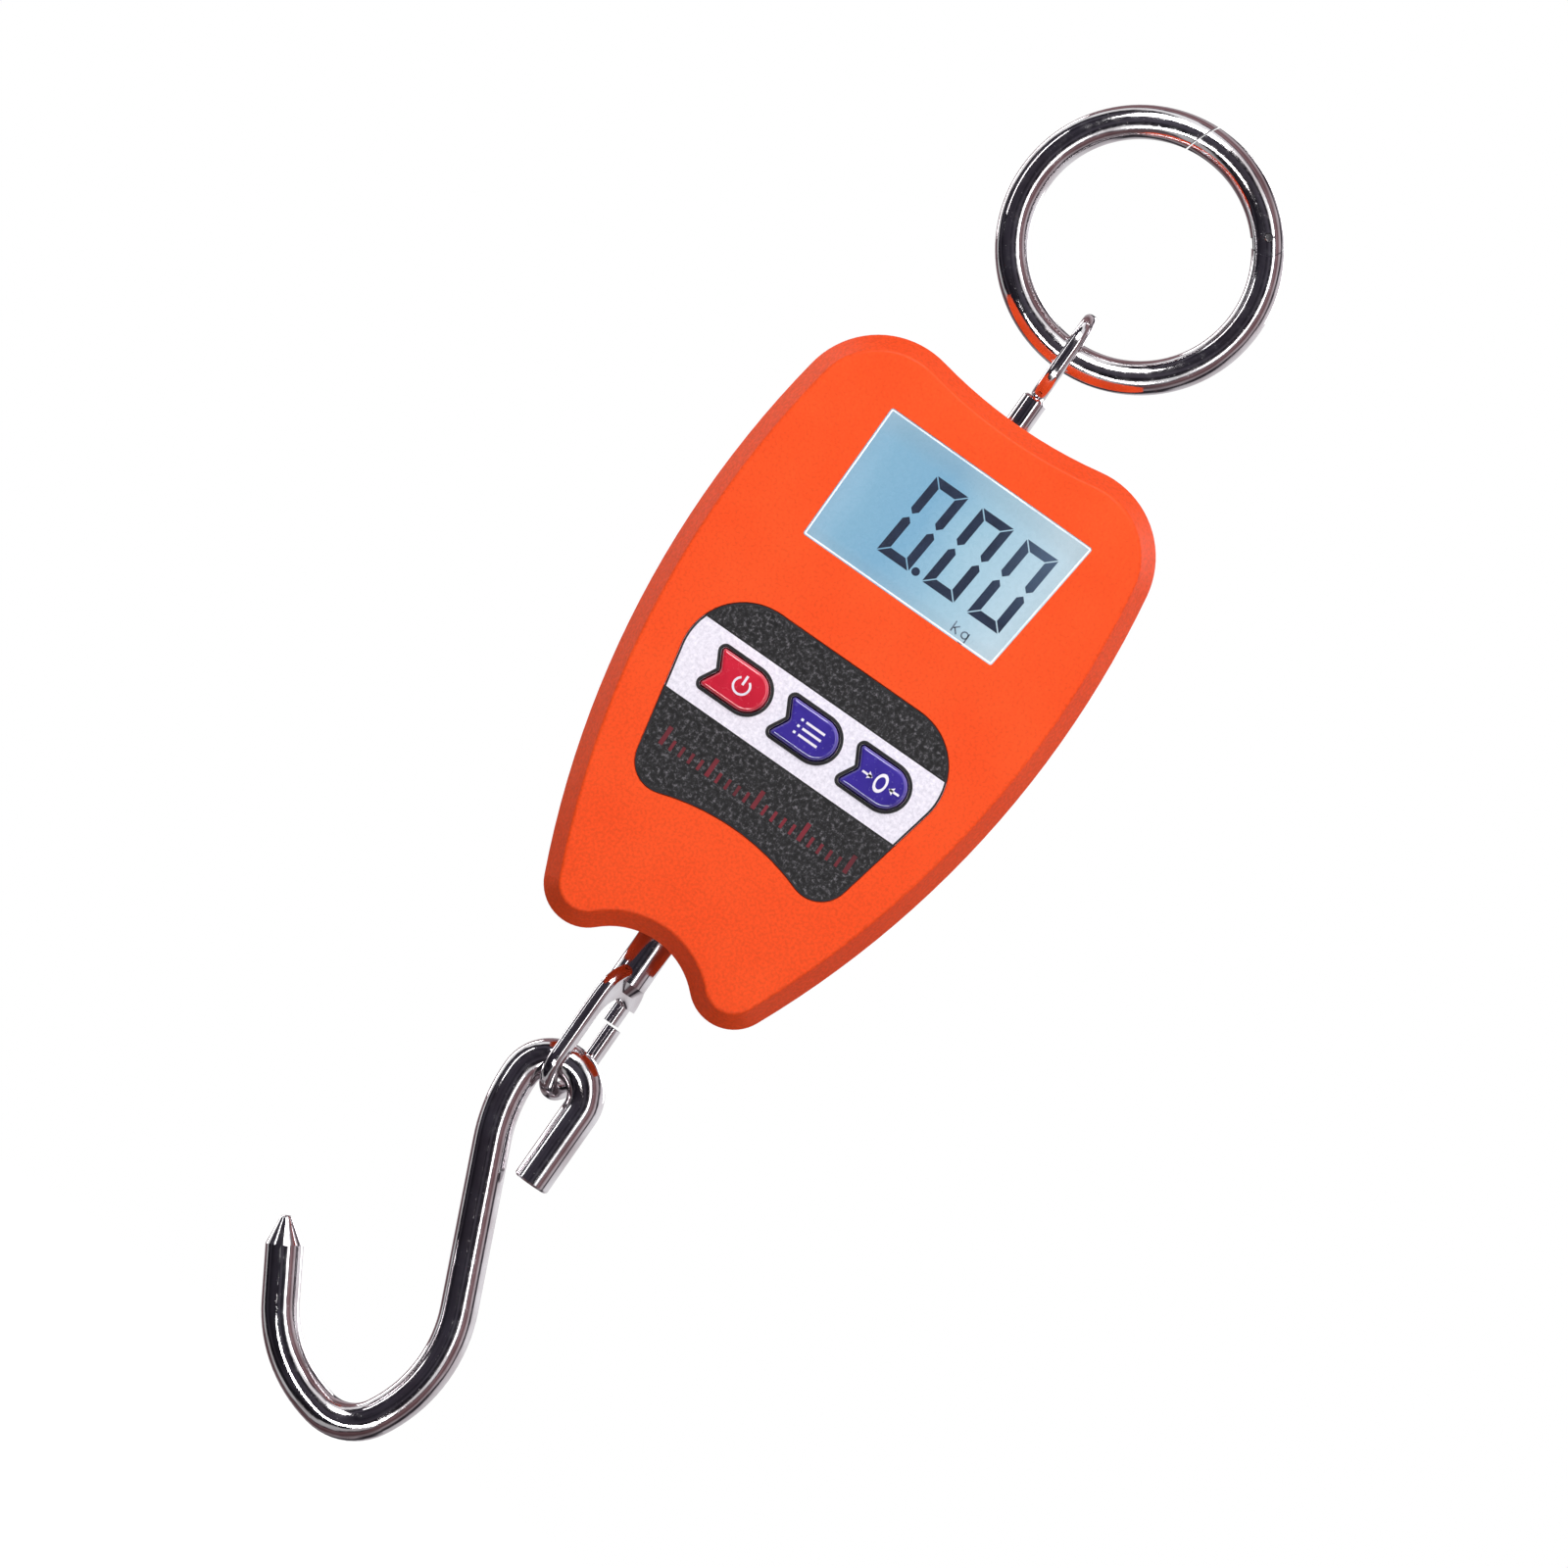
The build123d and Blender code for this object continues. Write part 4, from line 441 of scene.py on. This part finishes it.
paint(board, "main_board")

# Lens: clear coated acrylic
lens = Finish("clear_lens", Alpha=0.08, IOR=1.49, Coat_Weight=0.6, Coat_Roughness=0.03)
lens.give("Base Color", lens.mottle(rgb(40, 62, 88), rgb(30, 50, 74), 9.0))
lens.give("Roughness", lens.span(lens.noise(1.2, 3.0), 0.35, 0.75, 0.03, 0.12))
lens.give("Normal", lens.bump(lens.noise(7.0, 1.0), 0.004))
paint(lens, "lcd_lens")

# Display glass, lit from the right: blue at the left, paler to the right and towards the edges
glass = Finish("lcd", Emission_Strength=0.9)
lit = glass.span(glass.axis("X"), -20.0, 22.0)
drift = glass.span(glass.noise(14.0, 2.0), 0.3, 0.7, -0.05, 0.05)
wash = glass.ramp(glass.math("ADD", lit, drift), (0.0, rgb(158, 200, 226)), (0.14, rgb(142, 190, 218)),
                  (0.36, rgb(136, 186, 217)), (0.62, rgb(170, 209, 229)), (1.0, rgb(206, 230, 242)))
height = glass.axis("Z")
upper = glass.span(height, -74.5, -69.5, 0.0, 0.22)
lower = glass.span(height, -94.0, -98.5, 0.0, 0.25)
wash = glass.mix(glass.math("ADD", upper, lower), wash, rgb(214, 230, 236))
dots = glass.span(glass.noise(0.3, 1.0), 0.3, 0.7, 0.0, 0.05)
wash = glass.mix(dots, wash, rgb(110, 150, 182))
glass.give("Base Color", glass.mix(1.0, wash, rgb(120, 120, 120), "MULTIPLY"))
glass.give("Emission Color", wash)
glass.give("Roughness", glass.span(glass.noise(1.1), 0.3, 0.7, 0.22, 0.34))
paint(glass, "lcd_glass")

# Keypad overlay: speckled black film with a silver stripe edged by thin dark lines
film = Finish("overlay")
STRIPE_TOP, STRIPE_BOTTOM, STRIPE_LINE = -118.9, -133.5, 0.3
rise = film.axis("Z")
speckle = film.ramp(film.span(film.noise(0.8, 3.0, 0.75), 0.3, 0.7), (0.0, rgb(4, 4, 6)),
                    (0.45, rgb(20, 19, 21)), (0.62, rgb(44, 43, 46)), (1.0, rgb(112, 109, 114)))
silver = film.mix(film.span(film.noise(0.7, 3.0, 0.7), 0.35, 0.65), rgb(218, 214, 226), rgb(246, 242, 252))
below_top = film.math("LESS_THAN", rise, STRIPE_TOP)
above_bottom = film.math("GREATER_THAN", rise, STRIPE_BOTTOM)
stripe = film.math("MULTIPLY", below_top, above_bottom)
near_top = film.math("COMPARE", rise, STRIPE_TOP, STRIPE_LINE / 2)
near_bottom = film.math("COMPARE", rise, STRIPE_BOTTOM, STRIPE_LINE / 2)
printed = film.mix(stripe, speckle, silver)
film.give("Base Color", film.mix(film.math("MAXIMUM", near_top, near_bottom), printed, rgb(18, 17, 19)))
film.give("Roughness", film.span(film.noise(0.8, 3.0), 0.3, 0.7, 0.34, 0.5))
film.give("Normal", film.bump(film.noise(0.3, 2.0), 0.006))
paint(film, "keypad_overlay")


def keycap(name, face, deep, painted_highlight):
    """Glossy key with painted highlight: its colour is painted deeper towards the lower left and paler along
    the top and right, by which way the surface faces.
    """
    key = Finish(name, Coat_Weight=0.8, Coat_Roughness=0.08)
    # Painted highlight: the colour is mixed towards the pale tone where the surface faces up and to the right
    light_facing = key.add("VectorMath", operation="DOT_PRODUCT")
    normal = key.add("NewGeometry").outputs["Normal"]
    key.put(light_facing, 0, normal)
    light_facing.inputs[1].default_value = (0.6, 0.0, 0.8)
    highlight_amount = key.span(light_facing.outputs["Value"], 0.0, 0.9)
    base = key.mottle(face, deep, 5.0)
    key.give("Base Color", key.mix(highlight_amount, base, painted_highlight))
    key.give("Roughness", key.span(key.noise(0.9, 3.0), 0.3, 0.7, 0.16, 0.3))
    key.give("Normal", key.bump(key.noise(0.5, 2.0), 0.004, key.bump(key.noise(3.0), 0.02)))
    return key


# The third colour of each key is its painted highlight tone
paint(keycap("red_button", rgb(214, 38, 62), rgb(196, 30, 54), rgb(236, 96, 112)), "power_button")
blue = keycap("blue_button", rgb(62, 48, 152), rgb(52, 40, 136), rgb(112, 98, 196))
paint(blue, "mode_button", "tare_button")


# ------------------------------------------------------------------ printed and small pieces

def turn_outward(piece):
    work = bmesh.new()
    work.from_mesh(piece.data)
    bmesh.ops.recalc_face_normals(work, faces=work.faces)
    work.to_mesh(piece.data)
    work.free()


def add_piece(name, points, faces, finish, body):
    """A closed mesh that rides on a body."""
    mesh = bpy.data.meshes.new(name)
    mesh.from_pydata(points, [], faces)
    mesh.validate()
    piece = bpy.data.objects.new(name, mesh)
    scene.collection.objects.link(piece)
    mesh.materials.append(finish.material)
    turn_outward(piece)
    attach(piece, body)


def plate(name, shapes, front, rear, finish, body):
    """Flat shapes of (x, z) points in millimetres, made solid between two depths."""
    points, faces = [], []
    for shape in shapes:
        first, count = len(points), len(shape)
        points += [(x * MM, front * MM, z * MM) for x, z in shape]
        points += [(x * MM, rear * MM, z * MM) for x, z in shape]
        faces.append(tuple(range(first, first + count)))
        faces.append(tuple(range(first + 2 * count - 1, first + count - 1, -1)))
        for step in range(count):
            after = (step + 1) % count
            faces.append((first + step, first + count + step, first + count + after, first + after))
    add_piece(name, points, faces, finish, body)


def bar(start, end, width):
    """Four corners of a straight stroke."""
    (x0, z0), (x1, z1) = start, end
    length = math.hypot(x1 - x0, z1 - z0)
    nx, nz = -(z1 - z0) / length * width / 2, (x1 - x0) / length * width / 2
    return [(x0 + nx, z0 + nz), (x1 + nx, z1 + nz), (x1 - nx, z1 - nz), (x0 - nx, z0 - nz)]


def bow(centre, radius, width, start, end, steps=20, tall=1.0):
    """Quads along an arc between two angles in degrees."""
    quads = []
    angles = [math.radians(start + (end - start) * step / steps) for step in range(steps + 1)]
    for first, last in zip(angles, angles[1:]):
        corners = []
        for angle, reach in ((first, radius - width / 2), (last, radius - width / 2),
                             (last, radius + width / 2), (first, radius + width / 2)):
            corners.append((centre[0] + reach * math.cos(angle), centre[1] + reach * tall * math.sin(angle)))
        quads.append(corners)
    return quads


# Readout: seven-segment figures behind the lens
ink = Finish("display_ink")
# Painted glare: the figures are mixed towards a pale blue towards the right and the top, over the last figure
fade = ink.span(ink.axis("X"), 8.0, 18.0)
tall_fade = ink.span(ink.axis("Z"), -90.0, -76.0)
pale = ink.math("MULTIPLY", fade, ink.math("MULTIPLY", tall_fade, 0.55))
ink.give("Base Color", ink.mix(pale, ink.mottle(rgb(12, 26, 54), rgb(20, 38, 68), 3.0), rgb(96, 124, 154)))
ink.give("Roughness", ink.span(ink.noise(0.6), 0.3, 0.7, 0.45, 0.6))
FIGURE_W, FIGURE_H, SEGMENT, SEGMENT_GAP = 6.9, 17.0, 1.7, 0.16
SLANT = math.tan(math.radians(4.8))
INK_FRONT, INK_BACK = -13.46, -13.41


def figure(left, bottom):
    """The six lit segments of a nought, leaning slightly to the right."""
    w, h, t, g = FIGURE_W, FIGURE_H, SEGMENT, SEGMENT_GAP
    middle, split = h / 2, 0.35
    top = [(g, h), (w - g, h), (w - t - g, h - t), (t + g, h - t)]
    upper_left = [(0, h - g), (t, h - t - g), (t, middle + t / 2 + split), (t / 2, middle + split),
                  (0, middle + t / 2 + split)]
    segments = [top, upper_left, [(w - x, z) for x, z in upper_left]]
    segments += [[(x, h - z) for x, z in shape] for shape in segments[:3]]
    return [[(left + x + z * SLANT, bottom + z) for x, z in shape] for shape in segments]


READOUT_Z = -91.87
FIGURE_LEFTS = (-7.95, 1.94, 11.66)
figures = []
for left in FIGURE_LEFTS:
    figures += figure(left, READOUT_Z)
POINT, POINT_R = (0.1, READOUT_Z + 0.75), 0.78
point_angles = [turn * math.tau / 24 for turn in range(24)]
figures.append([(POINT[0] + POINT_R * math.cos(angle), POINT[1] + POINT_R * math.sin(angle))
                for angle in point_angles])
plate("readout", figures, INK_FRONT, INK_BACK, ink, "housing")

# Unit mark below the last figure
UNIT_X, UNIT_Z, UNIT_H, UNIT_STROKE = 11.2, -96.2, 2.1, 0.26
unit = [bar((UNIT_X, UNIT_Z), (UNIT_X, UNIT_Z + UNIT_H), UNIT_STROKE),
        bar((UNIT_X + 0.1, UNIT_Z + 0.75), (UNIT_X + 1.05, UNIT_Z + 1.6), UNIT_STROKE),
        bar((UNIT_X + 0.35, UNIT_Z + 0.95), (UNIT_X + 1.15, UNIT_Z), UNIT_STROKE)]
unit += bow((UNIT_X + 2.6, UNIT_Z + 0.75), 0.62, UNIT_STROKE, 0, 360)
unit.append(bar((UNIT_X + 3.22, UNIT_Z + 1.45), (UNIT_X + 3.22, UNIT_Z - 0.3), UNIT_STROKE))
unit += bow((UNIT_X + 2.6, UNIT_Z - 0.3), 0.62, UNIT_STROKE, 0, -140)
soft_ink = Finish("display_ink_soft")
soft_ink.give("Base Color", soft_ink.mottle(rgb(96, 118, 140), rgb(120, 140, 158), 1.5))
soft_ink.give("Roughness", soft_ink.span(soft_ink.noise(0.6), 0.3, 0.7, 0.45, 0.6))
plate("unit_mark", unit, INK_FRONT, INK_BACK, soft_ink, "housing")


def edge_loops(node, depth):
    """Outlines of the node's flat face at that depth, as (x, z) points in millimetres, longest first."""
    mesh = nodes[node].data
    place = {}
    flat = set()
    for vertex in mesh.vertices:
        if abs(vertex.co.y / MM - depth) < 0.02:
            flat.add(vertex.index)
            place[vertex.index] = (round(vertex.co.x / MM, 3), round(vertex.co.z / MM, 3))
    uses = {}
    for polygon in mesh.polygons:
        if all(index in flat for index in polygon.vertices):
            corners = [place[index] for index in polygon.vertices]
            for first, last in zip(corners, corners[1:] + corners[:1]):
                pair = (min(first, last), max(first, last))
                uses[pair] = uses.get(pair, 0) + 1
    beside = {}
    for (first, last), count in uses.items():
        if count == 1 and first != last:
            beside.setdefault(first, []).append(last)
            beside.setdefault(last, []).append(first)
    loops = []
    while beside:
        start = min(beside)
        loop, here = [start], start
        while beside.get(here):
            following = beside[here].pop()
            beside[following].remove(here)
            if following == start:
                break
            loop.append(following)
            here = following
        for point in [point for point, others in beside.items() if not others]:
            del beside[point]
        if len(loop) > 5:
            loops.append(loop)
    return sorted(loops, key=lambda loop: -outline_length(loop))


def outline_length(loop):
    return sum(math.dist(first, last) for first, last in zip(loop, loop[1:] + loop[:1]))


def signed_area(loop):
    return sum(a[0] * b[1] - b[0] * a[1] for a, b in zip(loop, loop[1:] + loop[:1])) / 2


def grown(loop, amount):
    """The outline moved outward by amount, with its points kept."""
    if signed_area(loop) < 0:
        loop = loop[::-1]
    moved = []
    for before, here, after in zip(loop[-1:] + loop[:-1], loop, loop[1:] + loop[:1]):
        one, two = (Vector(here) - Vector(before)).normalized(), (Vector(after) - Vector(here)).normalized()
        out_one, out_two = Vector((one.y, -one.x)), Vector((two.y, -two.x))
        middle = (out_one + out_two).normalized()
        reach = amount / max(0.45, middle.dot(out_one))
        moved.append((here[0] + middle.x * reach, here[1] + middle.y * reach))
    return moved


def band_round(name, loop, inner, outer, front, rear, finish, body):
    """A thin closed band that follows an outline, from inner to outer millimetres outside it."""
    near, far = grown(loop, inner), grown(loop, outer)
    count = len(near)
    points, faces = [], []
    for ring, depth in ((near, front), (far, front), (near, rear), (far, rear)):
        points += [(x * MM, depth * MM, z * MM) for x, z in ring]
    for step in range(count):
        after = (step + 1) % count
        faces.append((step, after, count + after, count + step))
        faces.append((2 * count + step, 3 * count + step, 3 * count + after, 2 * count + after))
        faces.append((step, 2 * count + step, 2 * count + after, after))
        faces.append((count + step, count + after, 3 * count + after, 3 * count + step))
    add_piece(name, points, faces, finish, body)


black_ink = moulded("black_ink", rgb(22, 21, 23), rgb(38, 36, 39), 0.4, 0.004, 0.3)
white_ink = moulded("white_ink", rgb(240, 236, 244), rgb(222, 216, 230), 0.4, 0.004, 0.3)
red_ink = moulded("red_ink", rgb(122, 24, 40), rgb(84, 18, 30), 0.45, 0.004, 0.5)

FILM_FRONT = -16.8
PRINT = 0.06
BORDER_GAP, BORDER_REACH = 0.03, 0.62
PANEL_BORDER = 0.38
film_loops = edge_loops("keypad_overlay", FILM_FRONT)
panel_outline, key_outlines = film_loops[0], sorted(film_loops[1:4], key=lambda loop: min(loop)[0])
KEYS = ("power", "mode", "tare")
for key, outline in zip(KEYS, key_outlines):
    band_round(key + "_border", outline, BORDER_GAP, BORDER_REACH, FILM_FRONT - PRINT, FILM_FRONT, black_ink,
               "housing")
band_round("panel_border", panel_outline, -PANEL_BORDER, -BORDER_GAP, FILM_FRONT - PRINT, FILM_FRONT, black_ink,
           "housing")

# A graduated row of marks across the lower part of the keypad
marks = []
MARK_LEFT, MARK_RIGHT, MARK_LOW, MARK_HIGH = -19.6, 20.4, -142.5, -138.8
MARK_COUNT, LONG_EACH, SHORT_PART = 21, 5, 0.55
LONG_WIDTH, SHORT_WIDTH = 0.85, 0.6
for step in range(MARK_COUNT):
    x = MARK_LEFT + (MARK_RIGHT - MARK_LEFT) * step / (MARK_COUNT - 1)
    is_long = step % LONG_EACH == 0
    top = MARK_HIGH if is_long else MARK_LOW + (MARK_HIGH - MARK_LOW) * SHORT_PART
    marks.append(bar((x, MARK_LOW), (x, top), LONG_WIDTH if is_long else SHORT_WIDTH))
plate("graduation", marks, FILM_FRONT - PRINT, FILM_FRONT, red_ink, "housing")

# Key symbols, one for each key
KEY_FRONT = -18.2
SYMBOL_Z, SYMBOL_PROUD, SYMBOL_SUNK = -125.7, 0.03, 0.05
POWER_X, TARE_X, STROKE, THICK_STROKE = -13.6, 16.6, 0.42, 0.46
symbols = {}
centre = (POWER_X, SYMBOL_Z)
symbols["power"] = bow(centre, 1.55, STROKE, 125, 415, 26)
symbols["power"].append(bar((centre[0], centre[1] + 0.2), (centre[0], centre[1] + 2.1), THICK_STROKE))
symbols["mode"] = []
for line_z in (SYMBOL_Z + 1.3, SYMBOL_Z, SYMBOL_Z - 1.3):
    symbols["mode"] += [bar((-0.4, line_z), (3.6, line_z), THICK_STROKE),
                        bar((-1.5, line_z), (-1.0, line_z), THICK_STROKE)]
zero = (TARE_X, SYMBOL_Z)
symbols["tare"] = bow(zero, 1.0, STROKE, 0, 360, 26, tall=1.55)
for side in (-1, 1):
    tip = zero[0] + side * 1.75
    symbols["tare"].append(bar((tip + side * 0.2, SYMBOL_Z), (tip + side * 2.2, SYMBOL_Z), STROKE))
    head_x = tip + side * 0.95
    symbols["tare"].append([(tip, SYMBOL_Z), (head_x, SYMBOL_Z + 0.75), (head_x, SYMBOL_Z - 0.75)])
for key in KEYS:
    plate(key + "_symbol", symbols[key], KEY_FRONT - SYMBOL_PROUD, KEY_FRONT + SYMBOL_SUNK, white_ink,
          key + "_key")

# Painted highlight: a glowing pale line where the lens meets the case, standing in for light caught on the lens
# edge
LENS_FRONT, EDGE_INNER, EDGE_OUTER, EDGE_PROUD = -16.7, -0.34, -0.04, 0.04
# Glowing pale finish of that painted highlight line
lens_glint = Finish("lens_edge_highlight", Emission_Strength=0.25)
glint_tone = lens_glint.mottle(rgb(232, 238, 242), rgb(206, 220, 230), 4.0)
lens_glint.give("Base Color", glint_tone)
lens_glint.give("Emission Color", glint_tone)
lens_glint.give("Roughness", lens_glint.span(lens_glint.noise(0.7), 0.3, 0.7, 0.15, 0.3))
lens_outline = edge_loops("lcd_lens", LENS_FRONT)[0]
band_round("lens_edge_highlight", lens_outline, EDGE_INNER, EDGE_OUTER, LENS_FRONT - EDGE_PROUD, LENS_FRONT, lens_glint,
           "housing")
